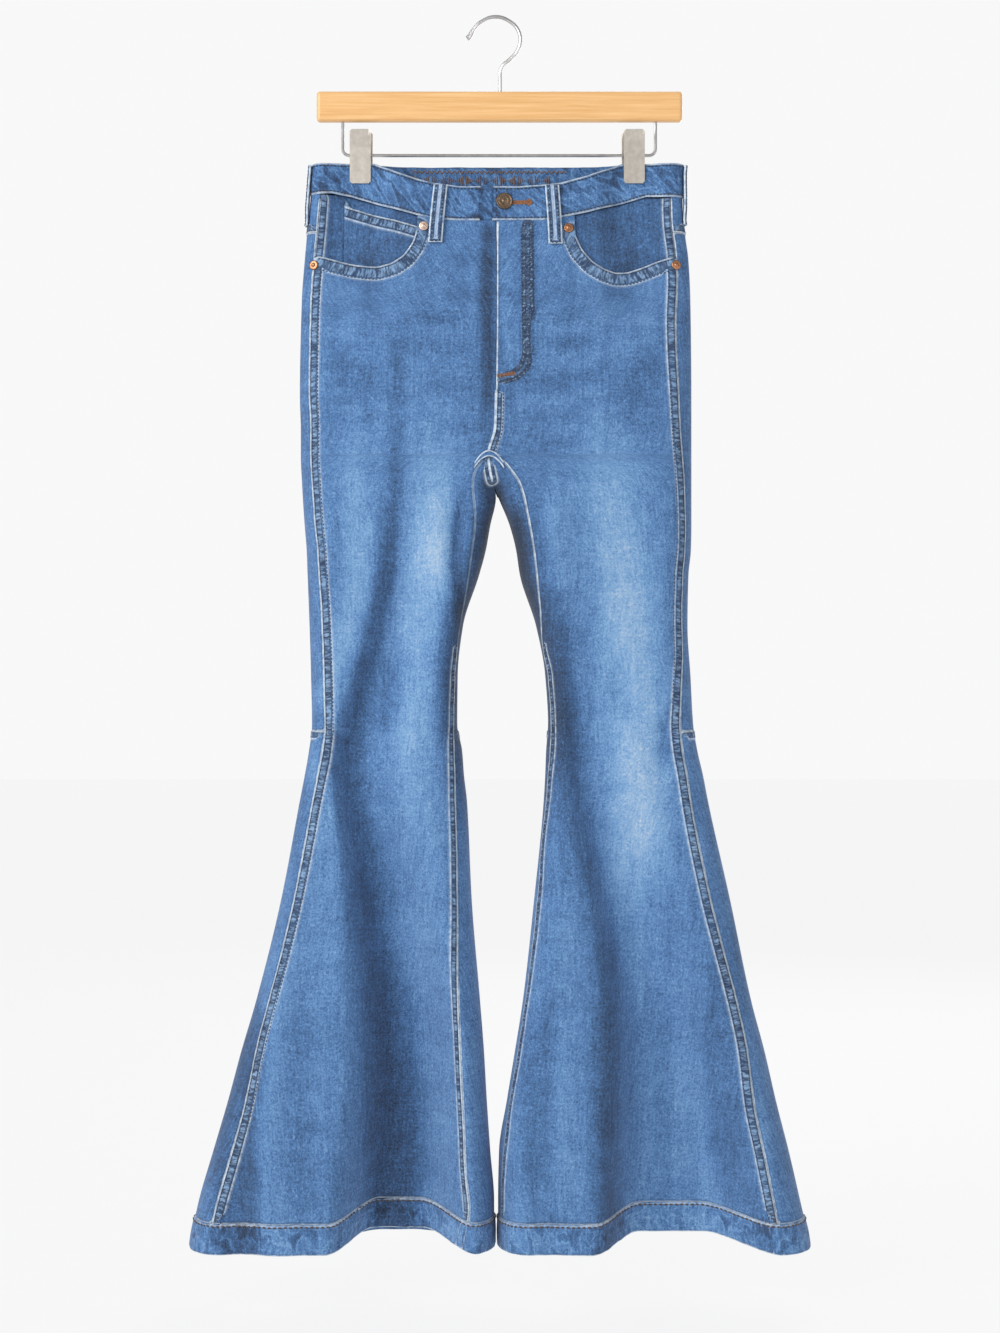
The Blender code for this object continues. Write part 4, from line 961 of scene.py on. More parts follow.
def front_panel(leg, material):
    curve = np.array(POCKET_OPENING[leg][1:], dtype=float)
    along = np.linspace(0, len(curve) - 1, 58)
    index = np.arange(len(curve))
    bend_x = np.interp(along, index, curve[:, 0])
    bend_z = np.interp(along, index, curve[:, 1])
    for bend in (bend_x, bend_z):
        bend[2:-2] = np.convolve(bend, np.array([1, 2, 3, 2, 1]) / 9.0, "valid")
    steps = [*WAIST_STEPS[leg], -3.5]
    waist_x = np.concatenate([[steps[0]], np.interp(np.linspace(0, len(steps) - 1, 58), np.arange(len(steps)),
                                                    steps)])[1:]
    tops_x = np.concatenate([bend_x, waist_x])
    tops = np.concatenate([bend_z, waist_seam(waist_x)])
    arc = np.concatenate([np.linspace(0, len(curve) - 1, 58),
                          len(curve) + np.linspace(0, len(steps) - 1, 58)])
    share = arc / arc[-1]
    share = BACK_LEFT_OF_SEAM + share * (1 - 2 * BACK_LEFT_OF_SEAM)
    levels = rows_between(-250, 2.8, -420, 3.4, HEM_SEAM_Z)
    blend = 1 - ease((levels[0] - levels) / 70.0)
    heights = levels[:, None] + (tops - levels[0])[None, :] * blend[:, None]
    heights = np.minimum(heights, tops[None, :])
    near, far = side_angle(leg, heights), inner_angle(leg, heights)
    even = near + (far - near) * share[None, :]
    wanted = angle_at(leg, np.broadcast_to(tops_x, heights.shape), heights)
    wanted[:, 0] = near[:, 0] * (1 - BACK_LEFT_OF_SEAM)
    angle = even + (wanted - even) * blend[:, None]
    piece = Piece("front_" + WORDS[leg], leg, seam_plan[leg]["front"], material,
                  lift=lambda v: fly_lift(v, leg))
    piece.grid(cloth(leg, angle, heights, 0.0))
    return piece.build()


def fly_lift(verts, leg):
    """The fly stands a little over the left front, and the right front sinks beside it."""
    x, z = verts[:, 0], verts[:, 2]
    tall = ease((z + 388) / 10)
    fly_edge = np.interp(z, *edge_rows())
    if leg == "l":
        return 0.9 * tall * (1 - ease((x - 34) / 1.6))
    return -1.0 * tall * ease((x - fly_edge + 7) / 4)


def back_columns(count_side, count_rear):
    side = -np.linspace(1.0 - BACK_LEFT_OF_SEAM, 0, count_side, endpoint=False)
    return np.concatenate([side, np.linspace(0, math.pi, count_rear)])


def back_fine(leg, columns, z):
    side = side_angle(leg, z)
    return np.where(columns < 0, -columns * side, columns)


BACK_COLUMNS = (0.0, 0.0, 0.0, 0.27, 0.54, 0.82, 1.2, 1.57, 1.95, 2.32, 2.72, math.pi)


def yoke_foot(columns):
    knots = np.array([-1.0, -0.5, 0.0] + list(BACK_COLUMNS[3:]))
    return -186.0 - np.interp(columns, knots, YOKE_DROP)


def back_yoke(leg, material):
    columns = back_columns(14, 76)
    angle = back_fine(leg, columns, np.full((1, len(columns)), -188.0))[0]
    x = cloth(leg, angle, np.full(len(columns), -186.0), 0.0)
    tops = np.where(columns < 0, waist_seam(x[:, 0]), waist_seam(x[:, 0], True))
    feet = yoke_foot(columns) + 0.15
    heights = tops[None, :] + (feet - tops)[None, :] * np.linspace(0, 1, 24)[:, None]
    piece = Piece("back_yoke_" + WORDS[leg], leg, seam_plan[leg]["yoke"], material)
    angle = back_fine(leg, columns, heights)
    angle[:, -1] -= 0.0012
    piece.grid(cloth(leg, angle, heights, 0.0))
    return piece.build()


def back_upper(leg, material):
    columns = back_columns(12, 84)
    tops = yoke_foot(columns) - 0.15
    levels = rows_between(-235, 3.0, -620, 3.2, KNEE_Z)
    blend = 1 - ease((levels[0] - levels) / 35.0)
    heights = np.minimum(levels[:, None] + (tops - levels[0])[None, :] * blend[:, None], tops[None, :])
    angle = back_fine(leg, columns, heights)
    above = heights[:, -1] > GAP_Z + 0.1
    angle[above, -1] -= 0.0012
    piece = Piece("back_upper_" + WORDS[leg], leg, seam_plan[leg]["back"], material)
    piece.grid(cloth(leg, angle, heights, 0.0))
    low = levels[levels <= CROSS_Z]
    share = np.linspace(0, 1 - 2 * BACK_LEFT_OF_SEAM, 14)
    z = np.repeat(low[:, None], len(share), axis=1)
    end = 2 * math.pi + inner_angle(leg, z)
    strip = math.pi + (end - math.pi) * share
    strip[low > GAP_Z + 0.1, 0] += 0.002
    piece.grid(cloth(leg, strip, z, 0.0))
    if leg == "l":
        arc_x = np.linspace(-26, 4, 34)
        piece.grid(np.array([crossing(arc_x, rise) for rise in np.linspace(3.2, -3.2, 7)]))
    return piece.build()


def back_lower(leg, material):
    columns = back_columns(10, 104)
    levels = rows_between(KNEE_Z - 0.15, 3.2, HEM_SEAM_Z)
    z = np.repeat(levels[:, None], len(columns), axis=1)
    rear = back_fine(leg, columns, z)
    share = np.linspace(0, 1 - 2 * BACK_LEFT_OF_SEAM, 14)[1:]
    z2 = np.repeat(levels[:, None], len(share), axis=1)
    strip = math.pi + (2 * math.pi + inner_angle(leg, z2) - math.pi) * share
    piece = Piece("back_lower_" + WORDS[leg], leg, seam_plan[leg]["back_lower"], material)
    piece.grid(cloth(leg, np.concatenate([rear, strip], axis=1), np.concatenate([z, z2], axis=1), 0.0))
    return piece.build()


def hem(leg, material):
    """The turned-up end of a leg: a rounded double edge with rope puckers."""
    count = 330
    angles = np.linspace(0, 2 * math.pi, count, endpoint=False)
    foot = cloth(leg, angles, np.full(count, -1262.0), 0.0)
    profile = [(0.2, 0.0)] + [(-0.9 - 0.5 * math.sin(math.pi * s), s) for s in np.linspace(0.06, 0.94, 12)]
    profile += [(-0.3, 0.985), (0.9, 1.0), (2.2, 0.985)] + [(2.9, s) for s in np.linspace(0.93, 0.06, 7)]
    profile += [(2.6, 0.0), (1.4, -0.01)]
    rows = []
    for inset, share in profile:
        z = HEM_SEAM_Z - 0.1 + (HEM_Z - HEM_SEAM_Z) * share
        rows.append(cloth(leg, angles, np.full(count, z), inset))
    points = np.array(rows)
    arc = np.cumsum(np.linalg.norm(np.diff(foot, axis=0, append=foot[:1]), axis=1))
    rise, flat = points[..., 2] - HEM_Z, np.ones(points.shape[:2])
    rope = smooth_noise((arc[None, :] + 0.9 * rise) / 11.0, 2.5 * flat, 21)
    fine = smooth_noise((arc[None, :] + 0.5 * rise) / 5.0, 7.5 * flat, 22)
    outer = np.array([inset < 1.2 for inset, _ in profile])
    ripple = (0.85 * rope + 0.45 * fine) * outer[:, None]
    centre = points.mean(axis=(0, 1))
    away = np.gradient(foot, axis=0)
    out = np.stack([away[:, 1], -away[:, 0], 0 * away[:, 0]], axis=1)
    out /= np.linalg.norm(out, axis=1)[:, None]
    if (out * (foot - centre)).sum() < 0:
        out = -out
    points = points + out[None, :, :] * ripple[..., None]
    piece = Piece("hem_" + WORDS[leg], leg, seam_plan[leg]["hem"], material, closed="yes", pucker=0.25)
    piece.grid(points, wrap_rows=True, wrap_cols=True)
    return piece.build()


def band_walk():
    z0 = np.array(-170.0)
    near, far = edges("torso", z0, 0.0)
    start = float(angle_at("torso", UNDERLAP_X, z0))
    end = 2 * math.pi + float(angle_at("torso", LAP_END_X, z0))
    rough = np.linspace(start, end, 4000)
    spots = cloth("torso", rough, np.full(4000, -170.0), 0.0)
    arc = np.concatenate([[0.0], np.cumsum(np.linalg.norm(np.diff(spots, axis=0), axis=1))])
    even = np.linspace(0, arc[-1], 330)
    walk = np.interp(even, arc, rough)
    x = near + (far - near) * (1 - np.cos(walk)) / 2
    return walk, x, even


def waistband(material):
    walk, x, arc = band_walk()
    on_front = np.sin(walk) < 0
    top = band_top(x, on_front)
    foot = band_foot(x, on_front) + 0.1
    lap = (np.arange(len(walk)) < len(walk) // 2) & (x > LAP_END_X - 12) & on_front
    base = np.where(lap, -BAND_OUT + BAND_THICK + SEAM, -BAND_OUT)
    profile = [(0.3, 0.0)] + [(-0.45 * math.sin(math.pi * s), s) for s in np.linspace(0.05, 0.95, 13)]
    profile += [(0.3, 1.0), (1.2, 1.008), (2.0, 0.99)] + [(2.35, s) for s in np.linspace(0.93, 0.07, 8)]
    profile += [(2.0, 0.01), (1.2, -0.012)]
    rows = []
    for inset, share in profile:
        z = top + (foot - top) * share
        rows.append(cloth("torso", walk, z, base + inset))
    points = np.array(rows)
    wave = smooth_noise(arc / 9.0, arc * 0, 31) * 0.35 + smooth_noise(arc / 22.0, arc * 0 + 4, 32) * 0.4
    outer = np.array([inset < 1.3 for inset, _ in profile])
    points[..., 1] += (wave * np.sign(points[0, :, 1]))[None, :] * outer[:, None]
    piece = Piece("waistband", None, seam_plan["band"], material, closed="yes", pucker=0.35)
    index = piece.grid(points, wrap_rows=True)
    caps = (index[:-1, 0][::-1].tolist(), index[:-1, -1].tolist())
    return piece.build(caps=caps)


def facing_shape(leg, count=44, rows=46, grow=0.0):
    opening = POCKET_OPENING[leg]
    xs = np.append(column(opening, "x"), FACING_END[leg])
    zs = np.append(column(opening, "z"), opening[-1][1])
    dense = np.linspace(0, len(xs) - 1, count)
    x = np.interp(dense, np.arange(len(xs)), xs)
    feet = np.interp(dense, np.arange(len(xs)), zs) - FACING_REACH + grow
    tops = waist_seam(x) - 1.0
    heights = tops[None, :] + (feet - tops)[None, :] * np.linspace(0, 1, rows)[:, None]
    angle = angle_at(leg, np.broadcast_to(x, heights.shape), heights)
    angle[:, 0] = side_angle(leg, heights[:, 0]) * (1 - BACK_LEFT_OF_SEAM)
    return x, angle, heights


def soft_folds(scale, height, seed):
    """Small uneven folds in a piece, out of its own surface."""
    def lift(verts):
        return height * smooth_noise(verts[:, 0] / scale, verts[:, 2] / (scale * 0.8), seed)
    return lift


def pocket_facing(leg, material):
    x, angle, heights = facing_shape(leg)
    piece = Piece("pocket_facing_" + WORDS[leg], leg, seam_plan[leg]["facing"], material, thick=1.0,
                  lift=soft_folds(13.0, 0.6, 41))
    sunk = FACING_INSET[leg] - (FACING_INSET[leg] - 0.7) * (1 - ease(np.abs(x - x[0]) / 11))
    piece.grid(cloth(leg, angle, heights, sunk[None, :] + 0 * heights))
    return piece.build()


def coin_top(x):
    return np.interp(x, column(COIN_EDGE, "x"), column(COIN_EDGE, "z"))


def coin_pocket(material):
    x, angle, heights = facing_shape("r", 60, 10)
    keep = (x > -163.5) & (x < -85.0)
    xs = x[keep]
    upper = coin_top(xs) + 8.0 * ease((-154 - xs) / 8)
    lower = heights[-1, keep] + 3.0
    rows = upper[None, :] + (lower - upper)[None, :] * np.linspace(0, 1, 34)[:, None]
    angle = angle_at("r", np.broadcast_to(xs, rows.shape), rows)
    piece = Piece("coin_pocket", "r", seam_plan["coin"], material, thick=0.9, lift=soft_folds(9.0, 0.25, 43))
    piece.grid(cloth("r", angle, rows, CLOTH + 0.4))
    return piece.build()


POCKET_POINT = (("angle", "drop"), (0.82, -407), (1.2, -417), (1.57, -425), (1.95, -417), (2.32, -407))


def pocket_edge():
    angles = column(POCKET_POINT, "angle")
    drops = column(POCKET_POINT, "drop")
    dense = np.linspace(angles[0], angles[-1], 60)
    return dense, np.interp(dense, angles, drops)


def back_pocket(leg, material):
    dense, feet = pocket_edge()
    rows = -275.0 + (feet + 275.0)[None, :] * np.linspace(0, 1, 50)[:, None]
    angle = np.broadcast_to(dense, rows.shape)
    piece = Piece("back_pocket_" + WORDS[leg], leg, seam_plan[leg]["back_pocket"], material, thick=1.1,
                  lift=soft_folds(18.0, 0.35, 45))
    piece.grid(cloth(leg, angle, rows, -1.9))
    return piece.build()


def loop_grid(face, x_top, x_foot, top, foot, inset=0.0):
    share = np.concatenate([np.linspace(0, 0.94, 40), np.linspace(0.95, 1.0, 6)])
    across = np.linspace(-0.5, 0.5, 15) * LOOP_WIDTH
    heights = np.repeat((top + (foot - top) * share)[:, None], 15, axis=1)
    centre = (x_top + (x_foot - x_top) * share)[:, None]
    if face == "side":
        height = (top + foot) / 2
        middle = 0.0 if x_top < 0 else math.pi
        sweep = np.linspace(-1.2, 1.2, 2001)
        spots = cloth("torso", middle + sweep, np.full(2001, height), -2.0)
        arc = np.concatenate([[0.0], np.cumsum(np.linalg.norm(np.diff(spots, axis=0), axis=1))])
        arc -= arc[1000]
        angle = middle + np.interp(across, arc, sweep)[None, :] + 0 * heights
    else:
        angle = angle_at("torso", centre + across[None, :], heights)
        if face == "rear":
            angle = -angle
    out = np.interp(share, (0.0, 0.25, 0.5, 0.72, 0.93, 0.96, 1.0), (4.2, 4.5, 4.6, 4.2, 3.0, 3.3, 2.6))
    crown = 0.5 * (np.abs(across) / 7.0) ** 4
    seamy = 0.35 * np.exp(-((np.abs(across) - 4.6) / 1.1) ** 2)
    return cloth("torso", angle, heights, -(out[:, None] - crown[None, :] - seamy[None, :]) + inset)


def belt_loop(row, material):
    name, face, x_top, x_foot, top, foot = row
    points = loop_grid(face, x_top, x_foot, top, foot)
    lines = [run_line(points[:, 0], 5.2, 1.0), run_line(points[:, -1], 5.2, 1.0, 300.0),
             run_line(points[-1], 3.0, 1.0, 500.0)]
    piece = Piece(name, "r" if x_top < 0 else "l", lines, material, thick=1.6, pucker=0.22)
    piece.grid(points)
    return piece.build(), points


# ------------------------------------------------------------------ where the seams run

def crossing(x, rise):
    """The inseam arc that lies over the foot of the rise seam."""
    z = -450.5 - 0.055 * (x + 11) ** 2 + rise
    return cloth("torso", angle_at("torso", x, z), z, -1.3 - 0.5 * (1 - abs(rise) / 3.3))


def plan_seams():
    plan = {"coin": [], "band": []}
    for leg in ("r", "l"):
        low = rows_between(-250, 4.0, HEM_SEAM_Z)
        high = rows_between(-188, 4.0, -252)
        knee_up, knee_down = rows_between(-250, 4.0, KNEE_Z), rows_between(KNEE_Z, 4.0, HEM_SEAM_Z)
        inner = rows_between(-458, 4.0, HEM_SEAM_Z)
        inner_up, inner_down = rows_between(-458, 4.0, KNEE_Z), rows_between(KNEE_Z, 4.0, HEM_SEAM_Z)
        rise = rows_between(-386, 3.0, -450)
        fly = rows_between(-213, 3.0, -386)
        centre = smooth(OUTLINE, "z", "in_" + leg, rise)
        fly_x = np.interp(fly, *edge_rows())
        opening = POCKET_OPENING[leg]
        hem_row = np.linspace(0, 2 * math.pi, 400)
        hem_line = cloth(leg, hem_row, np.full(400, HEM_SEAM_Z), 0.0)
        front = [run_line(side_line(leg, low), 9.0, 1.0),
                 run_line(front_line(leg, inseam_x(leg, inner[inner > -648]), inner[inner > -648]), 0.95,
                          0.9 if leg == "l" else 0.3),
                 run_line(front_line(leg, inseam_x(leg, inner[inner < -640]), inner[inner < -640]), 6.5, 1.0),
                 run_line(front_line(leg, centre, rise), 6.0 if leg == "l" else 0.9, 0.9),
                 run_line(table_line(leg, opening[1:]), 12.5, 1.0),
                 run_line(hem_line, 0.95, 0.7)]
        if leg == "l":
            front.append(run_line(front_line(leg, fly_x, fly), 0.95, 1.0))
            front.append(run_line(table_line(leg, FLY_STITCH["middle"], count=90), 6.2, 0.0))
        back = [run_line(side_line(leg, knee_up), 0.95, 0.9), run_line(side_line(leg, high), 0.95, 0.9),
                run_line(front_line(leg, inseam_x(leg, inner_up), inner_up), 0.95,
                         0.25 if leg == "r" else 0.6)]
        columns = back_columns(12, 90)
        foot = cloth(leg, back_fine(leg, columns, yoke_foot(columns)[None, :])[0], yoke_foot(columns), 0.0)
        back.append(run_line(foot, 0.95, 0.8))
        knee_angle = back_fine(leg, columns, np.full((1, len(columns)), KNEE_Z))[0]
        knee = cloth(leg, knee_angle, np.full(len(columns), KNEE_Z), 0.0)
        back.append(run_line(knee, 0.95, 0.9))
        under = rows_between(-457, 2.0, -478)
        back.append(run_line(front_line(leg, smooth(OUTLINE, "z", "in_" + leg, under), under), 4.6, 1.0))
        if leg == "l":
            arc_x = np.linspace(-26, 4, 30)
            for rise in (3.2, -3.2):
                back.append(run_line(crossing(arc_x, rise), 0.95, 1.0))
        seat = rows_between(-262, 4.0, -490)
        seat_band = 7.0 if leg == "l" else 0.95
        back.append(run_line(cloth(leg, np.full(len(seat), math.pi), seat, 0.0), seat_band, 0.9))
        turn_up, inside = rows_between(HEM_SEAM_Z, 4.0, HEM_Z), np.linspace(-1232, -1261, 8)
        dense, feet = pocket_edge()
        down = [np.interp(s, (0, 1), (-275, feet[0])) for s in np.linspace(0, 1, 30)]
        sides = [cloth(leg, np.full(30, angle), np.array(down), -1.5) for angle in (dense[0], dense[-1])]
        base = cloth(leg, dense, feet, -1.5)
        mouth = cloth(leg, dense, np.full(len(dense), -275.0), -1.5)
        plan[leg] = {
            "front": front,
            "back": back,
            "back_lower": [run_line(side_line(leg, knee_down), 0.95, 0.9),
                           run_line(front_line(leg, inseam_x(leg, inner_down), inner_down), 0.95, 0.7),
                           run_line(hem_line, 0.95, 0.7),
                           run_line(knee, 7.0, 0.9)],
            "yoke": [run_line(foot, 8.0, 1.0), run_line(side_line(leg, high), 0.95, 0.9),
                     run_line(cloth(leg, np.full(30, math.pi), np.linspace(-188, -262, 30), 0.0),
                              seat_band, 0.9)],
            "facing": [run_line(side_line(leg, high, 0.0), 8.0, 1.0)],
            "back_pocket": [*[run_line(edge, 7.0, 1.0) for edge in (*sides, base)],
                            run_line(mouth, 15.0, 1.0)],
            "hem": [run_line(cloth(leg, hem_row, np.full(400, HEM_SEAM_Z - 0.8), -1.0), 0.95, 0.9),
                    run_line(cloth(leg, hem_row, np.full(400, HEM_Z), 0.0), 0.95, 0.8),
                    *[run_line(side_line(leg, turn_up, shift), 0.95, 1.0) for shift in (0.0, 9.5)],
                    *[run_line(front_line(leg, inseam_x(leg, inside, shift), inside), 0.95, 1.0)
                      for shift in (0.0, 6.5)]],
        }
    xs = np.linspace(-163, -85.5, 50)
    plan["coin"] = [run_line(front_line("r", xs, coin_top(xs), CLOTH), 10.0, 1.0)]
    walk, x, _ = band_walk()
    on_front = np.sin(walk) < 0
    foot = band_foot(x, on_front) + 0.6
    top = band_top(x, on_front)
    plan["band"] = [run_line(cloth("torso", walk, foot, -BAND_OUT), 0.95, 0.75),
                    run_line(cloth("torso", walk, top, -BAND_OUT), 0.95, 0.75)]
    return plan


seam_plan = plan_seams()
denim_main = denim("denim")
denim_back = denim("denim_back")
# darker copies for the pocket facing and coin pocket: painted shade for their place set back in the pocket
# opening
shaded_pocket_denim = denim("denim_pocket_shaded", shade=0.52)
denim_coin_shaded = denim("denim_coin_shaded", shade=0.45)
denim_band = denim("denim_band", marble=0.75, shade=0.25, slant=0.9)
denim_hem = denim("denim_hem", marble=0.6, shade=0.0, slant=-0.1)
denim_loop = denim("denim_loop", marble=0.3)

built = {}
loops = {}
for leg in ("r", "l"):
    built["front", leg] = front_panel(leg, denim_main)
    built["yoke", leg] = back_yoke(leg, denim_back)
    built["upper", leg] = back_upper(leg, denim_back)
    built["lower", leg] = back_lower(leg, denim_back)
    built["hem", leg] = hem(leg, denim_hem)
    built["facing", leg] = pocket_facing(leg, shaded_pocket_denim)
    built["pocket", leg] = back_pocket(leg, denim_back)
built["coin"] = coin_pocket(denim_coin_shaded)
built["band"] = waistband(denim_band)
for row in LOOPS[1:]:
    built[row[0]], loops[row[0]] = belt_loop(row, denim_loop)

# ------------------------------------------------------------------ stitching

navy = thread("thread_navy", (0.020, 0.034, 0.075))
brown = thread("thread_brown", (0.110, 0.062, 0.040))
rust = thread("thread_rust", (0.380, 0.150, 0.050))

for leg in ("r", "l"):
    front, hem_piece = built["front", leg], built["hem", leg]
    low = rows_between(-262, 5.0, HEM_SEAM_Z)
    runs = [(front, side_line(leg, low, 1.9), 0.15), (front, side_line(leg, low, 8.6), 0.15)]
    inner = rows_between(-640, 5.0, HEM_SEAM_Z)
    runs.append((front, front_line(leg, inseam_x(leg, inner, 1.9), inner), 0.15))
    opening = POCKET_OPENING[leg]
    runs.append((front, table_line(leg, offset_table(leg, opening[1:], 2.2)), 0.15))
    runs.append((front, table_line(leg, offset_table(leg, opening[1:], 13.0)), 0.15))
    if leg == "l":
        runs.append((front, table_line(leg, FLY_STITCH["inner"]), 0.15))
        runs.append((front, table_line(leg, FLY_STITCH["outer"]), 0.15))
        rise = rows_between(-388, 3.0, -450)
        centre = smooth(OUTLINE, "z", "in_l", rise)
        runs.append((front, front_line(leg, centre + 1.9, rise), 0.1))
        runs.append((front, front_line(leg, centre + 7.5, rise), 0.1))
    thread_mesh("stitches_front_" + WORDS[leg], runs, navy)
    ring = np.linspace(0, 2 * math.pi, 500)
    hem_run = cloth(leg, ring, np.full(500, HEM_SEAM_Z - 2.6), -1.0)
    thread_mesh("stitches_hem_" + WORDS[leg], [(hem_piece, hem_run, 0.3)], brown,
                length=3.8, pitch=5.4, width=0.8, lift=0.35)
    columns = back_columns(12, 90)
    feet = yoke_foot(columns)
    angle = back_fine(leg, columns, feet[None, :])[0]
    yoke_runs = [(built["yoke", leg], cloth(leg, angle, feet + 2.0, 0.0), 0.15),
                 (built["yoke", leg], cloth(leg, angle, feet + 7.4, 0.0), 0.15)]
    thread_mesh("stitches_yoke_" + WORDS[leg], yoke_runs, navy)
    dense, feet = pocket_edge()
    pocket = built["pocket", leg]
    pocket_runs = []
    for inset in (2.2, 7.4):
        turn = inset / 85.0
        a = np.full(40, dense[0] + turn)
        b = np.full(40, dense[-1] - turn)
        z_a = np.linspace(-277.0, feet[0] + inset * 1.1, 40)
        middle = np.linspace(dense[0] + turn, dense[-1] - turn, 60)
        z_m = np.interp(middle, dense, feet) + inset * 1.1
        pocket_runs += [(pocket, cloth(leg, a, z_a, -1.9), 0.1), (pocket, cloth(leg, middle, z_m, -1.9), 0.1),
                        (pocket, cloth(leg, b, z_a[::-1], -1.9), 0.1)]
    mouth = np.linspace(dense[0] + 0.02, dense[-1] - 0.02, 60)
    for drop in (2.2, 14.0):
        pocket_runs.append((pocket, cloth(leg, mouth, np.full(60, -275.0 - drop), -1.9), 0.1))
    thread_mesh("stitches_pocket_" + WORDS[leg], pocket_runs, navy)
    knee = cloth(leg, np.linspace(0.05, 3.1, 200), np.full(200, KNEE_Z - 2.2), 0.0)
    knee_runs = [(built["lower", leg], knee, 0.15)]
    thread_mesh("stitches_knee_" + WORDS[leg], knee_runs, navy)

seat = rows_between(-262, 4.0, -482)
seat_x = smooth(OUTLINE, "z", "in_l", seat)
seat_runs = [(built["upper", "l"], cloth("l", -angle_at("l", seat_x + shift, seat), seat, 0.0), 0.1)
             for shift in (2.0, 7.0)]
thread_mesh("stitches_seat", seat_runs, navy)
xs = np.linspace(-161, -87, 60)
coin_runs = [(built["coin"], front_line("r", xs, coin_top(xs) - drop, CLOTH), 0.1) for drop in (2.0, 9.5)]
thread_mesh("stitches_coin", coin_runs, navy)

walk, x_walk, _ = band_walk()
on_front = np.sin(walk) < 0
foot = band_foot(x_walk, on_front) + 2.6
top = band_top(x_walk, on_front) - 2.6
band = built["band"]
end_z = np.linspace(-178.5, -208.5, 20)
end_x = np.full(20, LAP_END_X + 3.0)
band_runs = [(band, cloth("torso", walk, foot, -BAND_OUT)[14:], 0.15),
             (band, cloth("torso", walk, top, -BAND_OUT)[14:], 0.15),
             (band, cloth("torso", angle_at("torso", end_x, end_z), end_z, -BAND_OUT), 0.1)]
thread_mesh("stitches_waistband", band_runs, navy, width=0.62, lift=0.25)

loop_runs = []
for row in LOOPS[1:]:
    grid = loops[row[0]]
    loop_runs += [(built[row[0]], grid[:, 3], 0.08), (built[row[0]], grid[:, -4], 0.08),
                  (built[row[0]], grid[-3, 2:-2], 0.05)]
thread_mesh("stitches_loops", loop_runs, navy, width=0.5)


def bar_tack(name, piece, leg, a, b, count, material, length=5.5, inset=0.0):
    """A block of close short stitches across a line from a to b on the front face."""
    a, b = np.array(a, dtype=float), np.array(b, dtype=float)
    way = (b - a) / np.linalg.norm(b - a)
    across = np.array([-way[1], way[0]]) * length / 2
    runs = []
    for share in np.linspace(0, 1, count):
        middle = a + (b - a) * share
        ends = np.array([middle - across, middle + across])
        runs.append((piece, front_line(leg, ends[:, 0], ends[:, 1], inset), 0.1))
    return thread_mesh(name, runs, material, length=length * 0.93 - 0.9, pitch=length * 2, width=0.34,
                       lift=0.25)


bar_tack("tack_fly", built["front", "l"], "l", (-2.5, -371.5), (15.0, -369.0), 20, rust, 5.8)

# ------------------------------------------------------------------ buttonhole and woven trim

def trim_thread(name, strokes, material, width=0.45, piece=None, lift=0.25, face="front", inset=0.0):
    """Satin stitches: each stroke is a short straight line between two places of the band."""
    runs = []
    for (xa, za), (xb, zb) in strokes:
        ends_x, ends_z = np.array([xa, xb]), np.array([za, zb])
        angle = angle_at("torso", ends_x, ends_z)
        if face == "inside":
            angle = -angle
        spots = cloth("torso", angle, ends_z, inset)
        runs.append(spots)
    verts, faces = [], []
    base = 0
    for spots in runs:
        a, b = spots
        if piece is not None:
            (a, na), (b, nb) = piece.on_skin(a, lift), piece.on_skin(b, lift)
            up = na + nb
            up /= np.linalg.norm(up)
        else:
            up = np.array([0.0, -1.0, 0.0])
        way = (b - a) / max(np.linalg.norm(b - a), 1e-9)
        side = np.cross(up, way)
        ring = []
        for share, high in ((0.0, 0.35), (0.2, 1.0), (0.8, 1.0), (1.0, 0.35)):
            middle = a + (b - a) * share
            ring += [middle + side * width * high, middle + up * width * high, middle - side * width * high,
                     middle - up * width * 0.5]
        verts += ring
        for row in range(3):
            for k in range(4):
                j = (k + 1) % 4
                p = base + 4 * row
                faces.append((p + k, p + j, p + 4 + j, p + 4 + k))
        faces += [(base + 3, base + 2, base + 1, base), (base + 12, base + 13, base + 14, base + 15)]
        base += 16
    return ride_as_trim(new_object(name, world(np.array(verts)).tolist(), faces, material))


hole = []
for share in np.linspace(0, 1, 26):
    x = 10.5 + 18.5 * share
    hole.append(((x, -190.6 - 0.3 * share), (x + 0.2, -193.1)))
    hole.append(((x, -195.2 + 0.3 * share), (x + 0.2, -192.6)))
for turn in np.linspace(-1.9, 1.9, 14):
    hole.append(((29.0 + 1.2 * math.cos(turn), -192.8 + 1.2 * math.sin(turn)),
                 (29.0 + 4.0 * math.cos(turn), -192.8 + 3.6 * math.sin(turn))))
trim_thread("buttonhole", hole, rust, 0.5, band, 0.5, "front", -BAND_OUT)

# brown zigzags and diamonds worked on the inside of the back waistband
trim_brown = thread("thread_trim", (0.230, 0.125, 0.075))
inside_inset = 1.75
zigzag = []
for step in range(62):
    x = -92 + step * 2.6
    for low, high in ((-154.0, -157.5), (-175.0, -171.5)):
        za, zb = (low, high) if step % 2 else (high, low)
        zigzag.append(((x, za), (x + 2.6, zb)))
for centre in np.arange(-82, 62, 18.0):
    for dx, dz in ((7, 0), (5, 1.6), (3, 3.2), (1, 4.6)):
        for way_x in (-1, 1):
            x, high = centre + way_x * dx, 5.2 - dz
            zigzag.append(((x, -164.4 - high), (x, -164.4 + high)))
trim_thread("woven_trim", zigzag, trim_brown, 0.6, None, 0.2, "inside", inside_inset)

# ------------------------------------------------------------------ hanger, button and rivets

nodes = frame["nodes"]


def coat(name, material):
    node = nodes[name]
    if not node.data.materials:
        node.data.materials.append(material)
    for index in range(len(node.material_slots)):
        node.material_slots[index].material = material


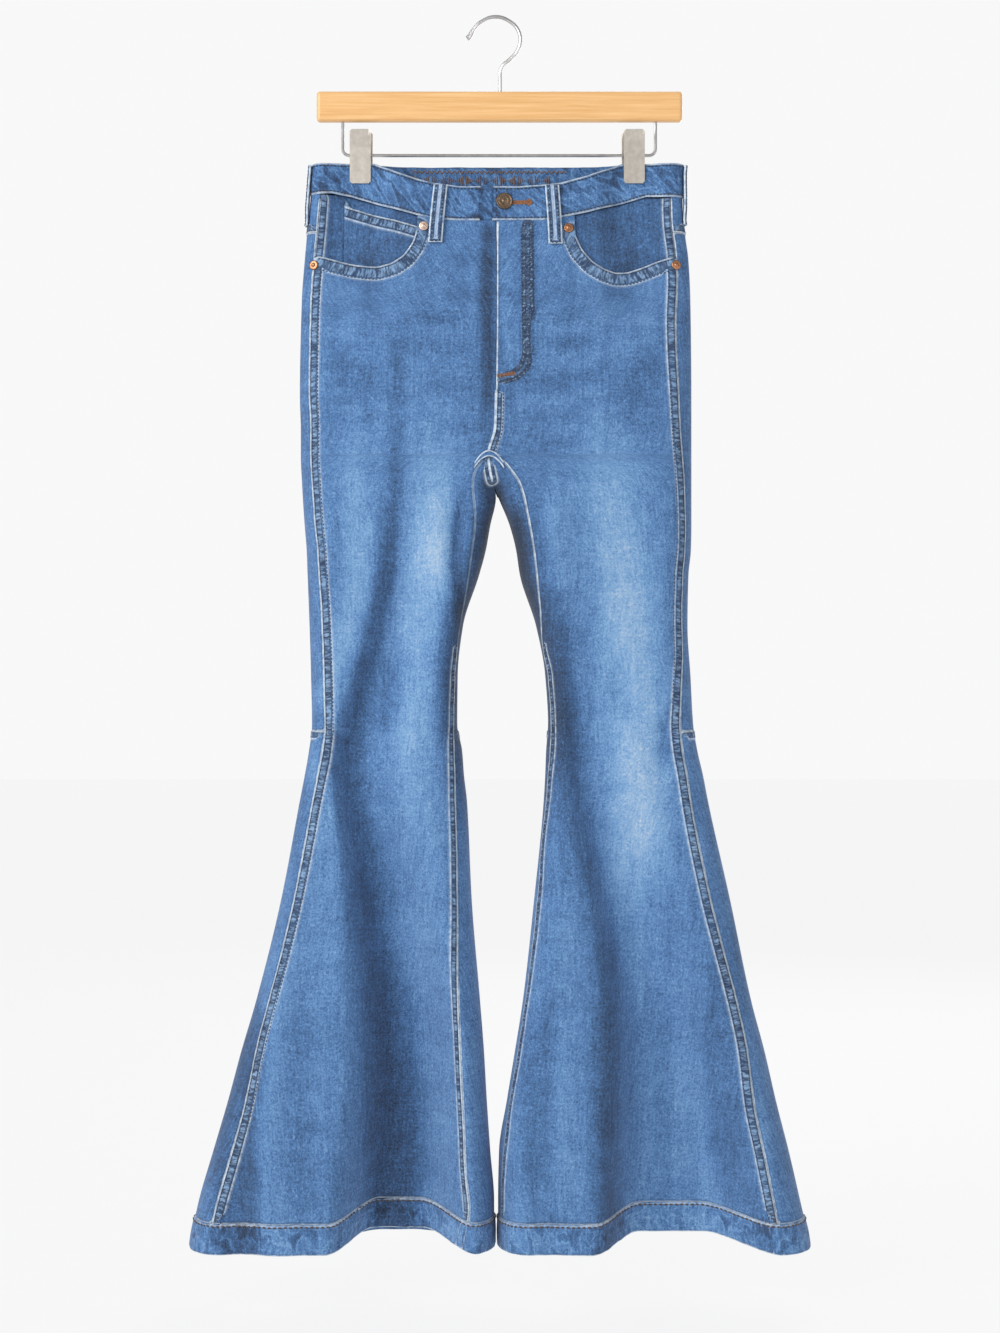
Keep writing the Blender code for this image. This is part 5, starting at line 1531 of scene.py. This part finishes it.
steel = metal("steel", (0.62, 0.61, 0.60), (0.36, 0.35, 0.34), 0.32)
clip_metal = metal("clip_satin", (0.72, 0.66, 0.58), (0.46, 0.42, 0.37), 0.42)
bronze = metal("bronze", (0.23, 0.165, 0.11), (0.09, 0.06, 0.04), 0.42, 2.0, 0.8)
copper = metal("copper", (0.55, 0.26, 0.13), (0.20, 0.10, 0.06), 0.38, 2.0, 0.7)
bright = metal("copper_bright", (0.85, 0.62, 0.50), (0.40, 0.24, 0.17), 0.34, 2.0, 0.5)
beech = wood()
coat("hanger_bar", beech)
for name in ("hanger_hook", "hanger_rod", "clip_spring_left", "clip_spring_right"):
    coat(name, steel)
for name in ("clip_front_left", "clip_front_right", "clip_back_left", "clip_back_right"):
    coat(name, clip_metal)


def turned(name, profile, x, z, material, lift, leg, torso=False):
    """A disc turned from (radius, height) steps, standing on the front face, in place of its plain node."""
    form = "torso" if torso else leg
    z0 = np.array(float(z))
    here = cloth(form, angle_at(form, x, z0), z0, 0.0)
    right, left, high, low = (cloth(form, angle_at(form, x + dx, z0 + dz), z0 + dz, 0.0)
                              for dx, dz in ((2, 0), (-2, 0), (0, 2), (0, -2)))
    along, up = right - left, high - low
    normal = Vector(np.cross(along, up)).normalized()
    if normal.y > 0:
        normal.negate()
    count = 48
    verts, faces = [], []
    for radius, height in profile:
        for k in range(count):
            turn = 2 * math.pi * k / count
            verts.append((radius * math.cos(turn), radius * math.sin(turn), height))
    for row in range(len(profile) - 1):
        for k in range(count):
            j = (k + 1) % count
            faces.append((row * count + k, row * count + j, (row + 1) * count + j, (row + 1) * count + k))
    faces.append(tuple(range(count))[::-1])
    faces.append(tuple((len(profile) - 1) * count + k for k in range(count)))
    mesh = bpy.data.meshes.new("turned_" + name)
    mesh.from_pydata(verts, [], faces)
    turn = normal.to_track_quat("Z", "Y").to_matrix().to_4x4()
    base = Vector(here) - Vector((HOOK_X, 0, 0)) + normal * lift
    mesh.transform(Matrix.Diagonal((MM, MM, MM, 1.0)) @ Matrix.Translation(base) @ turn)
    mesh.polygons.foreach_set("use_smooth", np.ones(len(mesh.polygons), dtype=bool))
    mesh.materials.append(material)
    obj = bpy.data.objects.new("turned_" + name, mesh)
    bpy.context.scene.collection.objects.link(obj)
    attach(obj, "root")
    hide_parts(name)
    return obj


BUTTON = ((2.0, 0.0), (8.2, 0.0), (8.6, 0.7), (8.5, 2.1), (7.9, 2.9), (7.0, 3.0), (6.6, 2.5), (6.2, 2.45),
          (5.7, 2.7), (3.2, 2.6), (2.6, 2.2), (2.2, 2.4), (1.2, 2.9), (0.3, 3.0))
RIVET = ((1.0, 0.0), (4.6, 0.0), (4.9, 0.5), (4.6, 1.2), (3.6, 1.5), (2.4, 1.2), (2.0, 1.4), (1.5, 2.1),
         (0.3, 2.3))
for name, kind, x, z, radius, height, lift, rim in STUDS[1:]:
    wearer = "r" if x < -3 else "l"
    if kind == "bronze":
        turned(name, BUTTON, x, z, bronze, lift + 0.4, wearer, True)
    else:
        turned(name, RIVET, x, z, bright if name == "rivet_right_inner" else copper, lift + 0.5, wearer)

# ------------------------------------------------------------------ floor and light

world_data = bpy.data.worlds.new("studio")
scene.world = world_data
world_data.use_nodes = True
tree = world_data.node_tree
back = tree.nodes["Background"]
path = tree.nodes.new("ShaderNodeLightPath")
blend = tree.nodes.new("ShaderNodeMix")
blend.data_type = "RGBA"
blend.inputs[6].default_value = (0.46, 0.47, 0.49, 1.0)
blend.inputs[7].default_value = (0.94, 0.94, 0.945, 1.0)
tree.links.new(path.outputs["Is Camera Ray"], blend.inputs[0])
tree.links.new(blend.outputs[2], back.inputs["Color"])

mesh = bpy.data.meshes.new("floor")
mesh.from_pydata([(-8, -4, -1.32), (8, -4, -1.32), (8, 12, -1.32), (-8, 12, -1.32)], [], [(0, 1, 2, 3)])
floor = bpy.data.objects.new("floor", mesh)
scene.collection.objects.link(floor)
pale = Tree("pale_floor", 0.9)
paper = pale.noise(pale.place(), 0.02, 3.0)
pale.put(pale.shader.inputs["Emission Color"], (0.93, 0.93, 0.935))
pale.shader.inputs["Emission Strength"].default_value = 0.93
floor.data.materials.append(pale.done(pale.mix(paper, (0.020, 0.020, 0.020), (0.028, 0.028, 0.028))))


def lamp(name, place, target, size, power):
    data = bpy.data.lights.new(name, "AREA")
    data.shape = "RECTANGLE"
    data.size, data.size_y = size
    data.energy = power
    obj = bpy.data.objects.new(name, data)
    scene.collection.objects.link(obj)
    obj.location = place
    obj.rotation_euler = (Vector(target) - Vector(place)).to_track_quat("-Z", "Y").to_euler()
    return obj


lamp("key", (-2.3, -2.2, 0.7), (0, 0, -0.65), (2.2, 2.2), 93)
lamp("fill", (2.2, -2.8, -0.2), (0, 0, -0.7), (1.6, 1.6), 16)
lamp("rear", (0.8, 2.6, 0.4), (0, 0, -0.6), (1.8, 1.8), 34)

scene.view_settings.view_transform = "Standard"
